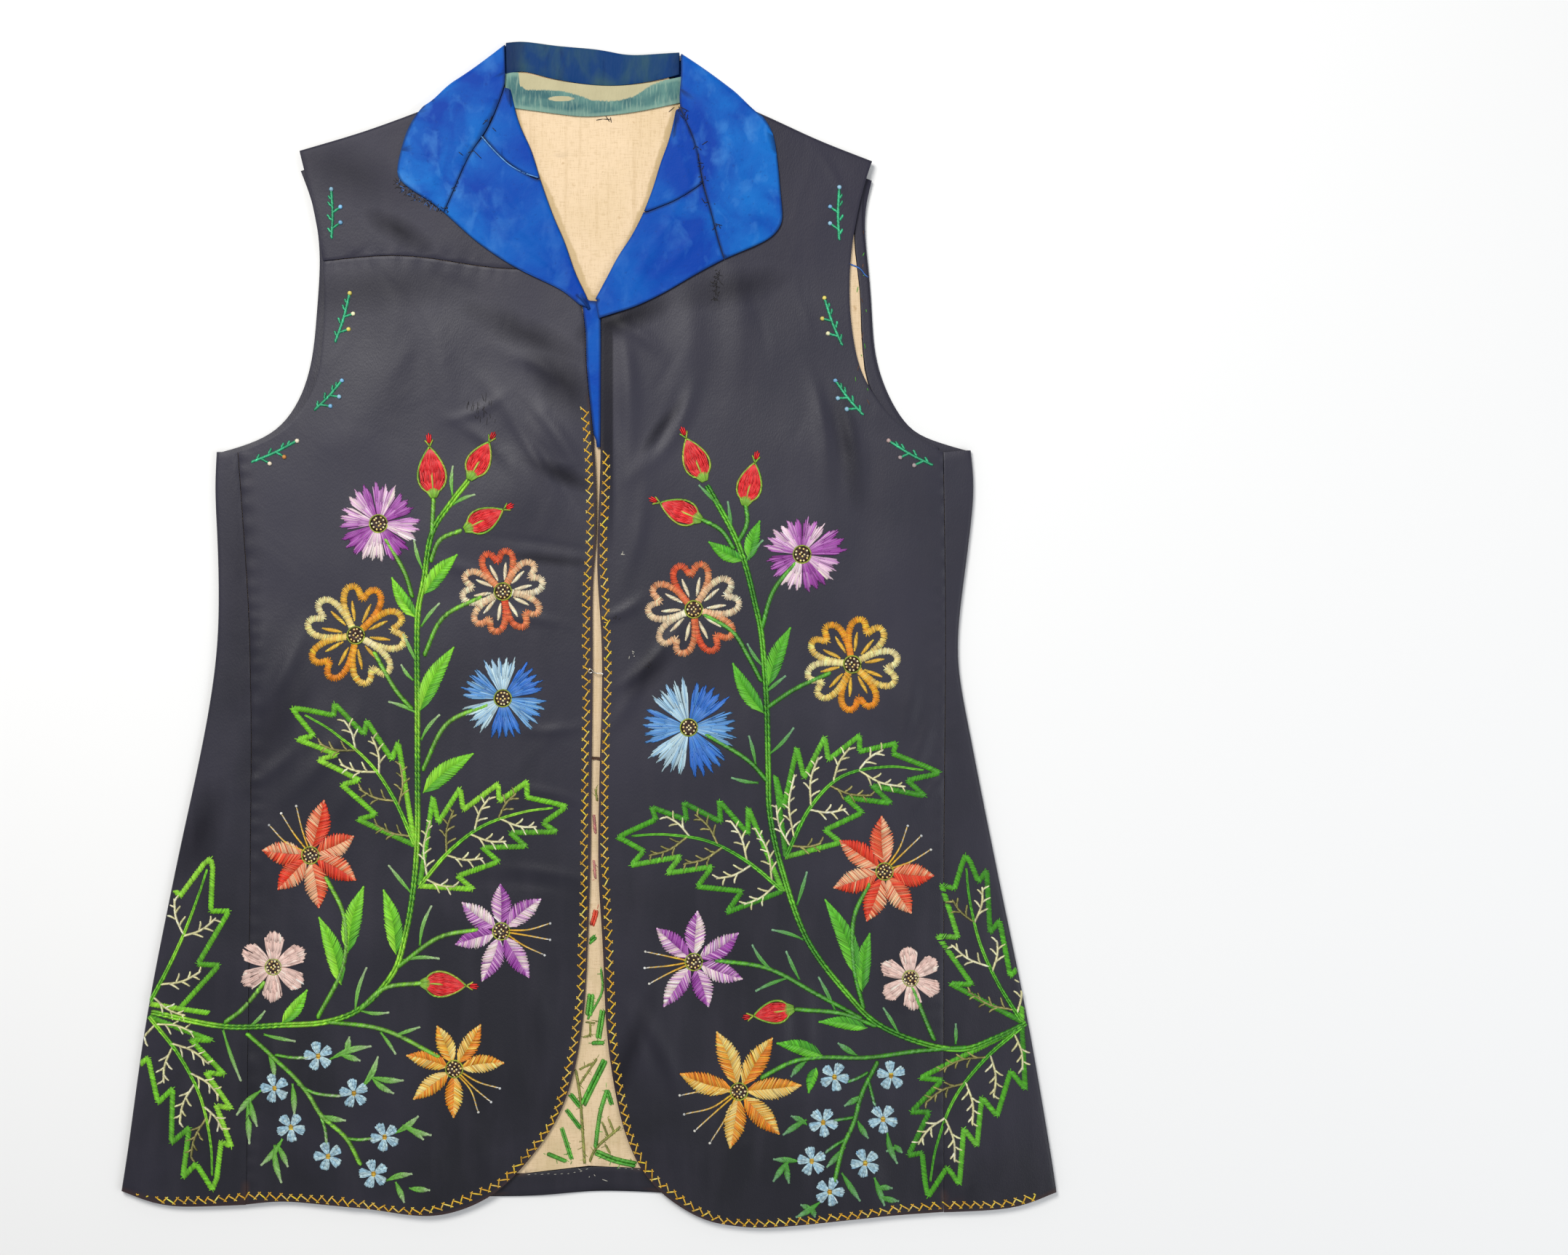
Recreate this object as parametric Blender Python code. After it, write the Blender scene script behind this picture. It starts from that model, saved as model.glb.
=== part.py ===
"""Embroidered waistcoat laid flat on its back, face up, the way a maker would sew it.

Tables are in millimetres: +x is the wearer's left, +y runs up to the collar, +z leaves the surface.
Each edge of a piece is one named curve with an (x, y) row for each point that its shape needs.
A piece is the cloth between four such curves, given its thickness by a Solidify modifier.
"""

import math

import bmesh
import bpy
from mathutils import Vector

MM = 0.001

SATIN, SILK, LINEN, FRONT_CLOTH = 1.2, 1.0, 1.0, 1.4
SEAM_GAP = 0.3
HALF_GAP = SEAM_GAP / 2 + 0.05

# Height of the middle of each layer over the surface, below the collar.
BACK_LEVEL, LINING_LEVEL, NECK_LEVEL, FRONT_LEVEL, LAPEL_LEVEL = 0.6, 2.1, 3.4, 3.9, 5.5
COLLAR_UNDER_LEVEL = SILK / 2

# Everything over the collar's back fall lies this much higher, with a slow slope below it.
NECK_RISE, SLOPE_FOOT, SLOPE_HEAD = 1.6, 195.0, 290.0

SHOULDER_CROWN = (FRONT_LEVEL - BACK_LEVEL + FRONT_CLOTH) / 2
FOLD_STEPS = 5
LAPEL_ROLL_RADIUS, LAPEL_ROLL_TURN, LAPEL_ROLL_STEPS = 1.6, 100.0, 3
SHOULDER_FLANGE = 7.0
BAND_CROWN = (NECK_LEVEL + NECK_RISE - COLLAR_UNDER_LEVEL + SILK) / 2
BAND_FLANGE = 1.0

# Back neck and shoulders
NECK_TOP = ((-51.3, 366.0), (-42.3, 367.0), (-20.5, 364.1), (7.4, 361.6), (24.0, 358.3), (44.3, 359.3), (56.0, 360.0))
BAND_FOOT = ((-51.3, 345.5), (-43.4, 348.3), (-20.5, 342.6), (11.9, 338.6), (39.8, 341.6), (56.0, 345.6))
NECK_SEAM = ((-45.2, 325.4), (-20.5, 321.8), (-2.0, 319.5), (25.0, 322.2), (53.2, 328.4))
SHOULDER_RIGHT = ((-53.6, 341.5), (-80.0, 332.8), (-106.0, 322.8), (-140.0, 310.5), (-179.0, 298.9))
SHOULDER_LEFT = ((58.6, 338.2), (84.0, 331.0), (110.9, 319.9), (142.0, 305.5), (175.4, 292.4))

# The back's own top edge, hidden under the collar's band
BACK_NECK_RIGHT = [Vector((-47.0, 356.5)), Vector((-47.6, 340.0)), Vector((-52.0, 327.0))]
BACK_NECK_LEFT = [Vector((52.0, 350.0)), Vector((53.0, 336.0)), Vector((57.0, 323.5))]
TIP_INSET = Vector((0.0, 10.5))

# Outer edge of the back from the shoulder tip to the underarm corner
ARMHOLE_BACK_RIGHT = (
    (-178.6, 297.0), (-174.8, 280.0), (-168.2, 252.0), (-166.7, 228.0), (-168.6, 205.0), (-170.6, 178.0),
    (-173.9, 160.0), (-178.6, 146.5), (-187.9, 131.0), (-199.0, 122.0), (-213.5, 116.5), (-228.6, 112.4),
)
ARMHOLE_BACK_LEFT = (
    (175.2, 291.0), (172.2, 274.0), (170.4, 253.0), (173.0, 228.0), (175.3, 200.7), (176.2, 178.7),
    (179.6, 162.0), (187.6, 143.0), (198.4, 126.3), (209.5, 119.9), (222.5, 117.2), (234.4, 113.4),
)
# The fold at each side, where the back turns on to the front
SIDE_FOLD_RIGHT = (
    (-228.6, 112.4), (-229.9, 92.0), (-227.8, 52.0), (-228.0, -5.0), (-235.4, -58.0), (-254.5, -148.0),
    (-272.0, -238.0), (-284.5, -326.0), (-287.6, -345.2),
)
SIDE_FOLD_LEFT = (
    (234.4, 113.4), (236.9, 93.0), (232.6, 52.0), (225.9, -12.0), (233.2, -58.0), (251.0, -148.0),
    (269.4, -238.0), (285.0, -328.0), (287.6, -346.0),
)
SIDE_SEAM_RIGHT = ((-217.1, 112.2), (-210.8, 19.4), (-209.0, -41.0), (-209.3, -130.0), (-212.2, -353.2))
SIDE_SEAM_LEFT = ((219.4, 112.2), (220.7, 24.3), (220.7, -31.9), (219.8, -129.2), (219.8, -357.8))
HEM_BACK = (
    (-287.6, -345.2), (-200.0, -349.5), (-110.0, -349.5), (-57.8, -348.8), (-16.0, -348.2), (4.7, -344.4),
    (33.0, -346.0), (110.0, -349.5), (200.0, -350.0), (287.6, -346.0),
)
HEM_WRAP_RIGHT = ((-287.6, -345.2), (-272.5, -354.0), (-240.0, -354.4), (-212.2, -353.4))
HEM_WRAP_LEFT = ((287.6, -346.0), (268.0, -355.0), (244.0, -357.0), (219.8, -358.0))
HEM_FACING_TOP = ((-278.0, -329.0), (-120.0, -333.5), (-40.3, -334.6), (4.7, -329.6), (30.4, -331.4), (120.0, -333.5),
                  (278.0, -329.0))

# Edges of the two fronts
ARMHOLE_FRONT_RIGHT = (
    (-177.8, 296.6), (-169.9, 261.4), (-164.6, 232.0), (-163.4, 205.0), (-165.8, 168.8), (-168.5, 154.3),
    (-173.9, 144.0), (-181.1, 134.1), (-190.1, 124.7), (-206.8, 116.3), (-217.1, 112.2),
)
ARMHOLE_FRONT_LEFT = (
    (174.4, 290.4), (168.5, 270.4), (162.4, 236.0), (161.3, 205.2), (164.0, 180.0), (168.5, 161.6),
    (178.9, 144.0), (188.8, 131.8), (203.0, 120.8), (219.4, 112.2),
)
CENTRE_EDGE_RIGHT = (
    (-2.4, 196.0), (-2.2, 172.0), (-0.4, 150.0), (3.6, 114.0), (4.7, 61.2), (2.5, 34.2), (2.4, -25.2),
    (1.6, -95.9), (1.0, -143.1), (-0.4, -185.0), (-2.5, -228.6), (-6.1, -256.9), (-11.9, -281.7),
    (-21.4, -304.2), (-43.4, -333.0), (-57.4, -346.1), (-73.6, -355.1), (-88.0, -359.4),
)
CENTRE_EDGE_LEFT = (
    (7.8, 192.0), (7.5, 150.0), (7.2, 100.0), (5.5, 61.2), (5.2, 34.2), (7.4, 7.7), (8.3, -27.9), (6.4, -95.9),
    (6.0, -150.0), (8.6, -190.8), (11.2, -247.5), (18.4, -294.8), (24.1, -313.7), (31.5, -331.0), (47.0, -348.3),
    (59.2, -356.4), (74.0, -364.0),
)
HEM_FRONT_RIGHT = ((-88.0, -359.4), (-105.5, -360.4), (-131.6, -356.4), (-163.6, -353.2), (-191.9, -351.0),
                   (-212.2, -353.2))
HEM_FRONT_LEFT = ((74.0, -364.0), (103.3, -367.9), (127.1, -366.3), (157.7, -363.2), (187.4, -360.0), (219.8, -357.8))
YOKE_SEAM = ((-50.0, 225.5), (-78.5, 229.1), (-107.3, 233.6), (-135.0, 233.6), (-164.7, 229.8))

# Collar and lapels: the roll is the edge of the V, from the neck down to where it closes
NECK_EDGE_RIGHT = ((-50.2, 341.0), (-51.4, 348.0), (-51.8, 360.8))
NECK_EDGE_LEFT = ((55.4, 329.0), (57.4, 345.0), (57.2, 355.2))
ROLL_RIGHT = ((-49.3, 342.0), (-46.3, 328.0), (-42.3, 313.2), (-35.8, 300.6), (-30.8, 283.9), (-21.8, 258.3),
              (-15.1, 243.0), (-7.9, 222.3), (-1.1, 208.4), (1.4, 201.0))
ROLL_LEFT = ((54.6, 327.5), (50.2, 306.4), (44.3, 291.2), (39.8, 275.4), (32.6, 257.9), (25.9, 245.2), (18.2, 233.6),
             (11.4, 220.8), (3.6, 206.4))
GORGE_RIGHT = ((-51.2, 339.2), (-55.1, 328.1), (-60.5, 315.0), (-65.2, 306.9), (-73.6, 296.1), (-78.1, 285.8),
               (-82.6, 274.9), (-89.3, 260.1))
GORGE_LEFT = ((55.4, 326.5), (58.3, 321.3), (63.2, 309.6), (67.7, 297.9), (69.3, 285.0), (71.4, 274.6),
              (76.0, 260.0), (79.4, 245.2), (83.9, 231.3))
PIECING_RIGHT = ((-65.2, 306.9), (-56.9, 297.0), (-47.9, 289.4), (-38.5, 283.5), (-30.2, 281.0))
PIECING_LEFT = ((70.4, 278.0), (59.2, 270.2), (48.4, 265.0), (36.4, 261.0))
LAPEL_EDGE_RIGHT = ((-89.3, 260.1), (-78.1, 249.8), (-67.7, 240.8), (-45.7, 226.3), (-22.3, 215.1), (-10.6, 209.2),
                    (-6.3, 203.5))
LAPEL_EDGE_LEFT = ((83.9, 231.3), (69.1, 223.7), (47.5, 211.1), (25.4, 200.7), (12.8, 197.1), (6.2, 194.8))
COLLAR_EDGE_RIGHT = ((-117.6, 281.0), (-118.0, 287.5), (-116.3, 296.1), (-112.3, 309.6), (-106.6, 320.0), (-101.8, 325.6))
COLLAR_EDGE_LEFT = ((119.4, 252.4), (120.0, 259.0), (119.0, 268.7), (116.3, 296.1), (113.6, 310.0), (108.0, 319.0))
# Where each fall turns back over the shoulder, from the neck out
COLLAR_FOLD_RIGHT = ((-51.8, 360.8), (-64.3, 350.7), (-75.2, 342.7), (-87.2, 335.2), (-96.7, 330.6), (-101.8, 325.6))
COLLAR_FOLD_LEFT = ((57.2, 355.2), (67.4, 348.2), (82.0, 337.4), (97.6, 325.4), (103.7, 322.4), (108.0, 319.0))
COLLAR_END_RIGHT = ((-89.3, 260.1), (-98.3, 267.4), (-109.7, 274.1), (-117.6, 281.0))
COLLAR_END_LEFT = ((83.9, 231.3), (91.1, 234.5), (102.8, 239.4), (113.6, 244.9), (119.4, 252.4))
COLLAR_BACK_EDGE = ((-102.6, 325.2), (-88.0, 310.0), (-62.0, 300.0), (-30.0, 296.5), (4.0, 295.5), (36.0, 296.0),
                    (68.0, 299.0), (94.0, 307.0), (108.0, 319.0))
STRIP_INNER_EDGE = ((-1.8, 200.0), (-1.9, 195.4), (-1.8, 172.0), (0.0, 150.0), (3.9, 115.2))
STRIP_OUTER_EDGE = ((6.3, 197.8), (6.6, 193.6), (6.6, 172.0), (6.5, 150.0), (6.3, 115.2))

# Facing of the left armhole: its inner edge, from the shoulder to the underarm
FACING_EDGE_LEFT = (
    (164.5, 286.0), (164.2, 262.0), (164.8, 240.0), (168.1, 211.5), (169.4, 180.9), (172.6, 155.7),
    (178.5, 143.2), (188.6, 129.4), (203.0, 117.6), (216.0, 108.0),
)
FACING_OUTER_LEFT = (
    (170.6, 284.4), (169.6, 268.0), (169.2, 252.0), (171.8, 228.0), (174.1, 200.7), (175.0, 178.7),
    (178.6, 161.6), (186.6, 142.2), (197.8, 124.9), (216.6, 115.6),
)
FACING_STEPS = 16  # the lining and the facing share these steps where they meet

# Soft folds of the two fronts: where the crest lies, the way it runs and how far it stands up
FOLD_COLUMNS = ("x", "y", "heading", "length", "width", "height")
FOLDS = (
    (-26, 112, 62, 46, 11, 1.5),
    (-60, 82, 48, 52, 15, 1.3),
    (-150, 120, 70, 60, 17, 1.5),
    (-186, -42, 78, 62, 12, 2.3),
    (-152, -74, 66, 66, 16, 1.7),
    (-60, -58, 98, 88, 18, 1.5),
    (-118, -232, 100, 92, 24, 2.1),
    (-54, -262, 84, 66, 20, 1.6),
    (-176, -276, 108, 66, 20, 1.8),
    (17, 128, 91, 92, 8, 1.2),
    (196, 62, 96, 60, 13, 2.1),
    (150, 84, 88, 66, 16, 1.4),
    (176, -70, 84, 74, 17, 1.8),
    (66, -40, 80, 96, 18, 1.5),
    (112, -226, 96, 98, 24, 2.0),
    (52, -276, 102, 62, 20, 1.6),
    (178, -272, 74, 72, 20, 1.9),
)
FOLD_EDGE = 10.0  # folds die out over this distance from the side folds

# The lining lies this far inside the back's right armhole and its side folds
LINING_ARMHOLE_INSET, LINING_SIDE_INSET = 9.0, 3.4
UNDER_LAPEL = 2.7  # the fronts end this far inside the lapels' rolls

WIRE = 0.7
HOOK_PLACE = (4.6, -25.0)
HOOK_LENGTH, HOOK_EYE_RADIUS, HOOK_EYE_WIDTH, HOOK_BILL_HEIGHT = 7.0, 1.3, 0.9, 1.5
HOOK_REST = 0.6  # clear space between the hook's wire and the front


def ease(share):
    share = min(max(share, 0.0), 1.0)
    return share * share * (3 - 2 * share)


def neck_rise(y):
    return NECK_RISE * ease((y - SLOPE_FOOT) / (SLOPE_HEAD - SLOPE_FOOT))


def on_curve(curve, y):
    """x of a side curve at height y, straight between its points."""
    for (x0, y0), (x1, y1) in zip(curve, curve[1:]):
        if y1 <= y <= y0:
            return x0 + (x1 - x0) * (y0 - y) / (y0 - y1)
    return curve[0][0] if y > curve[0][1] else curve[-1][0]


def fold_rise(x, y):
    """How far the soft folds lift the fronts at (x, y)."""
    rise = 0.0
    for row in FOLDS:
        fold = dict(zip(FOLD_COLUMNS, row))
        angle = math.radians(fold["heading"])
        dx, dy = x - fold["x"], y - fold["y"]
        along = dx * math.cos(angle) + dy * math.sin(angle)
        across = dx * math.sin(angle) - dy * math.cos(angle)
        rise += fold["height"] * math.exp(-((along / fold["length"]) ** 2) - (across / fold["width"]) ** 2)
    if y < SIDE_FOLD_RIGHT[0][1]:
        room = min(x - on_curve(SIDE_FOLD_RIGHT, y), on_curve(SIDE_FOLD_LEFT, y) - x)
        rise *= ease(room / FOLD_EDGE)
    return rise


def back_height(x, y):
    return BACK_LEVEL + neck_rise(y)


def lining_height(x, y):
    return LINING_LEVEL + neck_rise(y)


def neck_height(x, y):
    return NECK_LEVEL + neck_rise(y)


def front_height(x, y):
    return FRONT_LEVEL + neck_rise(y) + fold_rise(x, y)


def lapel_height(x, y):
    return LAPEL_LEVEL + neck_rise(y) + fold_rise(x, y)


def collar_height(x, y):
    return LAPEL_LEVEL + neck_rise(y)


def under_height(x, y):
    return COLLAR_UNDER_LEVEL


def spline(points, share, index):
    """A point of the smooth curve through points, in the span that starts at index."""
    last = len(points) - 1
    p1, p2 = Vector(points[index]), Vector(points[index + 1])
    p0 = Vector(points[index - 1]) if index else p1 * 2 - p2
    p3 = Vector(points[index + 2]) if index + 2 <= last else p2 * 2 - p1
    chord = (p2 - p1).length
    slope_in = (p2 - p0) * (chord / max((p2 - p1).length + (p1 - p0).length, 1e-9))
    slope_out = (p3 - p1) * (chord / max((p3 - p2).length + (p2 - p1).length, 1e-9))
    t2, t3 = share * share, share ** 3
    return (
        p1 * (2 * t3 - 3 * t2 + 1)
        + slope_in * (t3 - 2 * t2 + share)
        + p2 * (3 * t2 - 2 * t3)
        + slope_out * (t3 - t2)
    )


def sampled(points, steps):
    """steps + 1 points at even distances along the smooth curve through points."""
    fine_steps = 24
    fine = [spline(points, k / fine_steps, i) for i in range(len(points) - 1) for k in range(fine_steps)]
    fine.append(Vector(points[-1]))
    run = [0.0]
    for a, b in zip(fine, fine[1:]):
        run.append(run[-1] + (b - a).length)
    found, at = [], 0
    for k in range(steps + 1):
        goal = run[-1] * k / steps
        while at < len(run) - 2 and run[at + 1] < goal:
            at += 1
        span = run[at + 1] - run[at]
        found.append(fine[at].lerp(fine[at + 1], (goal - run[at]) / span if span else 0.0))
    return found


def rail(*parts):
    """One edge of a piece, from (curve, steps) parts that follow each other."""
    joined = []
    for curve, steps in parts:
        joined += sampled(curve, steps)[1 if joined else 0:]
    return joined


def sideways(points):
    """The unit vectors to the left of the way that the points run."""
    found = []
    for i in range(len(points)):
        way = points[min(i + 1, len(points) - 1)] - points[max(i - 1, 0)]
        found.append(Vector((-way.y, way.x)).normalized())
    return found


def moved(curve, distance):
    """The curve moved to its left."""
    points = [Vector(point) for point in curve]
    return [point + side * distance for point, side in zip(points, sideways(points))]


def patch(near, far, head=None, foot=None):
    """Rows of points between two rails of equal length. head and foot bend the first and last rows."""
    rows, last = [], len(near) - 1
    columns = len(head or foot) - 1
    for i, (a, b) in enumerate(zip(near, far)):
        row = []
        for j in range(columns + 1):
            share = j / columns
            point = a.lerp(b, share)
            if head:
                point += (head[j] - near[0].lerp(far[0], share)) * (1 - i / last) ** 3
            if foot:
                point += (foot[j] - near[-1].lerp(far[-1], share)) * (i / last) ** 3
            row.append(point)
        rows.append(row)
    return rows


def straight(a, b, steps):
    return [a.lerp(b, k / steps) for k in range(steps + 1)]


def raised(rows, height):
    return [[Vector((p.x, p.y, height(p.x, p.y))) for p in row] for row in rows]


def turned(edge, outward, drop, turn=180.0, steps=FOLD_STEPS):
    """Rows that carry an edge round a fold: drop is how far the far side lies below, less than 0 for above."""
    radius, rows = abs(drop) / 2, []
    for k in range(1, steps + 1):
        angle = math.radians(turn) * k / steps
        down = math.copysign(radius * (1 - math.cos(angle)), drop)
        rows.append([
            Vector((p.x + n.x * radius * math.sin(angle), p.y + n.y * radius * math.sin(angle), p.z - down))
            for p, n in zip(edge, outward)
        ])
    return rows


def columns_of(rows):
    return [list(column) for column in zip(*rows)]


def material(name, colour, roughness, metallic=0.0):
    made = bpy.data.materials.new(name)
    made.use_nodes = True
    shader = made.node_tree.nodes["Principled BSDF"]
    shader.inputs["Base Color"].default_value = (*colour, 1.0)
    shader.inputs["Roughness"].default_value = roughness
    shader.inputs["Metallic"].default_value = metallic
    return made


def cloth(name, rows, thickness, look):
    """One piece of cloth over a grid of points in millimetres. None marks a place without cloth."""
    shape = bmesh.new()
    grid = [[shape.verts.new(p * MM) if p is not None else None for p in row] for row in rows]
    for upper, lower in zip(grid, grid[1:]):
        for j in range(len(upper) - 1):
            corners = (upper[j], lower[j], lower[j + 1], upper[j + 1])
            if None not in corners:
                shape.faces.new(corners)
    for vert in [vert for vert in shape.verts if not vert.link_faces]:
        shape.verts.remove(vert)
    mesh = bpy.data.meshes.new(name)
    shape.to_mesh(mesh)
    shape.free()
    mesh.materials.append(look)
    piece = bpy.data.objects.new(name, mesh)
    bpy.context.scene.collection.objects.link(piece)
    wall = piece.modifiers.new("Wall", "SOLIDIFY")
    wall.thickness = thickness * MM
    wall.offset = 0.0
    wall.use_even_offset = True
    return piece


def make_back(look):
    """The back lies on the surface and turns on to the front at both sides, up to the side seams."""
    across, shoulder_steps, armhole_steps, side_steps, wrap_steps = 20, 6, 11, 21, 3
    inset = SHOULDER_CROWN + SHOULDER_FLANGE + 2 * SEAM_GAP
    right_top = BACK_NECK_RIGHT + moved(SHOULDER_RIGHT, inset)[1:-1] + [Vector(ARMHOLE_BACK_RIGHT[0]) - TIP_INSET]
    left_top = BACK_NECK_LEFT + moved(SHOULDER_LEFT, -inset)[1:-1] + [Vector(ARMHOLE_BACK_LEFT[0]) - TIP_INSET]
    right_arm = [right_top[-1]] + [Vector(p) for p in ARMHOLE_BACK_RIGHT[1:]]
    left_arm = [left_top[-1]] + [Vector(p) for p in ARMHOLE_BACK_LEFT[1:]]
    right = rail((right_top, shoulder_steps), (right_arm, armhole_steps), (SIDE_FOLD_RIGHT, side_steps))
    left = rail((left_top, shoulder_steps), (left_arm, armhole_steps), (SIDE_FOLD_LEFT, side_steps))
    neck = sampled((BACK_NECK_RIGHT[0], (-20.5, 355.0), (7.4, 352.4), (24.0, 349.6), BACK_NECK_LEFT[0]), across)
    rows = raised(patch(right, left, neck, sampled(HEM_BACK, across)), back_height)
    first = shoulder_steps + armhole_steps
    wraps = []
    for side, fold, seam, hem in (
        (-1, right, SIDE_SEAM_RIGHT, HEM_WRAP_RIGHT),
        (1, left, SIDE_SEAM_LEFT, HEM_WRAP_LEFT),
    ):
        edge = moved(seam, side * HALF_GAP)
        flat = patch(fold[first:], sampled(edge, side_steps), None, sampled(hem, wrap_steps))
        top = raised(flat, front_height)
        for row in top:
            row[0].z = FRONT_LEVEL
        low = [Vector((p.x, p.y, BACK_LEVEL)) for p in fold[first:]]
        outward = [Vector((side, 0.0))] * len(low)
        arc = columns_of(turned(low, outward, BACK_LEVEL - FRONT_LEVEL, steps=FOLD_STEPS)[:-1])
        wraps.append([arc_row + top_row for arc_row, top_row in zip(arc, top)])
    blank = [None] * len(wraps[0][0])
    whole = []
    for i, row in enumerate(rows):
        wrap_right, wrap_left = (wraps[0][i - first], wraps[1][i - first]) if i >= first else (blank, blank)
        whole.append(wrap_right[::-1] + row + wrap_left)
    return cloth("back", whole, SATIN, look)


def make_lining(look):
    """The back's lining ends at the neck facing, the left armhole's facing and the hem facing."""
    across, down = 14, (4, FACING_STEPS, 15)
    right_arm = [p + Vector((LINING_ARMHOLE_INSET, -1.0)) for p in map(Vector, ARMHOLE_BACK_RIGHT)]
    left_arm = moved(FACING_EDGE_LEFT, -2 * HALF_GAP)
    right_side = [Vector((x + LINING_SIDE_INSET, y)) for x, y in SIDE_FOLD_RIGHT][1:-1]
    left_side = [Vector((x - LINING_SIDE_INSET, y)) for x, y in SIDE_FOLD_LEFT][1:-1]
    right_foot = Vector(HEM_FACING_TOP[0]) + Vector((-1.0, 2 * HALF_GAP))
    left_foot = Vector(HEM_FACING_TOP[-1]) + Vector((1.0, 2 * HALF_GAP))
    right_top = [Vector((-43.0, 350.0)), Vector((-62.0, 324.0)), Vector((-114.0, 303.0)), right_arm[1]]
    left_top = [Vector((48.0, 346.0)), Vector((64.0, 320.0)), Vector((114.0, 302.0)), left_arm[0]]
    right_side = [right_arm[-1]] + right_side[1:] + [right_foot]
    left_side = [left_arm[-1], Vector((226.0, 92.0))] + left_side[1:] + [left_foot]
    right = rail((right_top, down[0]), (right_arm[1:], down[1]), (right_side, down[2]))
    left = rail((left_top, down[0]), (left_arm, down[1]), (left_side, down[2]))
    neck = straight(right[0], left[0], across)
    foot = [p + Vector((0.0, 2 * HALF_GAP)) for p in sampled(HEM_FACING_TOP, across)]
    return cloth("back_lining", raised(patch(right, left, neck, foot), lining_height), LINEN, look)


def make_hem_facing(look):
    across = 28
    upper = sampled(HEM_FACING_TOP, across)
    lower = [p + Vector((0.0, 1.2)) for p in sampled(HEM_BACK, across)]
    lower[0], lower[-1] = Vector((-281.0, -343.4)), Vector((281.0, -344.0))
    rows = patch(upper, lower, straight(upper[0], lower[0], 1))
    return cloth("back_hem_facing", raised(rows, lining_height), LINEN, look)


def make_armhole_facing(look):
    inner = sampled(FACING_EDGE_LEFT, FACING_STEPS)
    outer = sampled(FACING_OUTER_LEFT, FACING_STEPS)
    rows = patch(inner, outer, straight(inner[0], outer[0], 1))
    return cloth("armhole_facing_left", raised(rows, lining_height), LINEN, look)


def make_neck_facing(look):
    """Worn silk inside the back neck, between the collar's band and the neck seam."""
    along = 10
    upper = sampled([(x, y - SEAM_GAP) for x, y in BAND_FOOT], along)
    lower = sampled(NECK_SEAM, along)
    upper[0], upper[-1] = Vector((-48.2, 345.8)), Vector((54.2, 344.6))
    rows = patch(upper, lower, straight(upper[0], lower[0], 2))
    return cloth("neck_facing", raised(rows, neck_height), SILK, look)


def make_collar_band(look):
    """The band inside the back neck and its roll, which runs round the neck's top edge and under it."""
    along, deep = 12, 2
    drop = NECK_LEVEL + NECK_RISE - COLLAR_UNDER_LEVEL
    top = [p - Vector((0.0, BAND_CROWN)) for p in sampled(NECK_TOP, along)]
    foot = sampled(BAND_FOOT, along)
    flat = raised(patch(foot, top, straight(foot[0], top[0], deep)), neck_height)
    outward = [Vector((0.0, 1.0))] * (along + 1)
    edge = [row[-1] for row in flat]
    arc = turned(edge, outward, drop)
    flange = [Vector((p.x, p.y - BAND_FLANGE, p.z)) for p in arc[-1]]
    rows = [row + turn + [end] for row, turn, end in zip(flat, columns_of(arc), flange)]
    return cloth("collar_band", rows, SILK, look)


def make_collar(look):
    """Both falls of the collar and the fall behind the neck, in one piece round the shoulders' folds."""
    wide, drop = 5, LAPEL_LEVEL + NECK_RISE - COLLAR_UNDER_LEVEL
    halves = []
    for side, gorge, neck, edge, end, fold in (
        (-1, GORGE_RIGHT, NECK_EDGE_RIGHT, COLLAR_EDGE_RIGHT, COLLAR_END_RIGHT, COLLAR_FOLD_RIGHT),
        (1, GORGE_LEFT, NECK_EDGE_LEFT, COLLAR_EDGE_LEFT, COLLAR_END_LEFT, COLLAR_FOLD_LEFT),
    ):
        seam = moved(gorge[::-1], side * -HALF_GAP)
        inner = rail((seam, 8), ([seam[-1], *map(Vector, neck[1:])], 3))
        outer = sampled([Vector(end[-1]), *map(Vector, edge[1:])], 11)
        turn_line = sampled(fold, wide)
        flat = patch(inner, outer, sampled([inner[0], *map(Vector, end[1:])], wide), turn_line)
        top = raised(flat, collar_height)
        way = (turn_line[0] - turn_line[-1]).normalized()
        away = Vector((-abs(way.y) * -side, abs(way.x)))
        outward = [away.lerp(Vector((0.0, 1.0)), (1 - j / wide) ** 2).normalized() for j in range(wide + 1)]
        arc = turned(top[-1], outward, drop, steps=FOLD_STEPS + 1)
        halves.append((top, arc))
    (right_top, right_arc), (left_top, left_arc) = halves
    start = [Vector((p.x, p.y)) for p in right_arc[-1]]
    stop = [Vector((p.x, p.y)) for p in left_arc[-1]]
    below = Vector((0.0, BAND_CROWN + BAND_FLANGE + SEAM_GAP))
    neck_line = [start[0]] + [Vector(p) - below for p in NECK_TOP[1:-1]] + [stop[0]]
    back_edge = [start[-1]] + [Vector(p) for p in COLLAR_BACK_EDGE[1:-1]] + [stop[-1]]
    under = raised(patch(sampled(neck_line, 14), sampled(back_edge, 14), start, stop), under_height)
    rows = right_top + right_arc[:-1] + under + left_arc[:-1][::-1] + left_top[::-1]
    return cloth("collar", rows, SILK, look)


def shoulder_edge(line, side, count):
    """Points where a front starts to roll over its shoulder, and the way it rolls at each."""
    points = sampled(line, count)
    normals = [n * side for n in sideways(points)]
    return [p - n * SHOULDER_CROWN for p, n in zip(points, normals)], normals


def over_shoulder(flat, normals):
    """The front's rows with those that carry it over its shoulder and under, to the back's edge."""
    arc = turned(flat[0], normals, FRONT_LEVEL - BACK_LEVEL)
    flange = [p - n.to_3d() * SHOULDER_FLANGE for p, n in zip(arc[-1], normals)]
    return [flange] + arc[::-1] + flat


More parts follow.
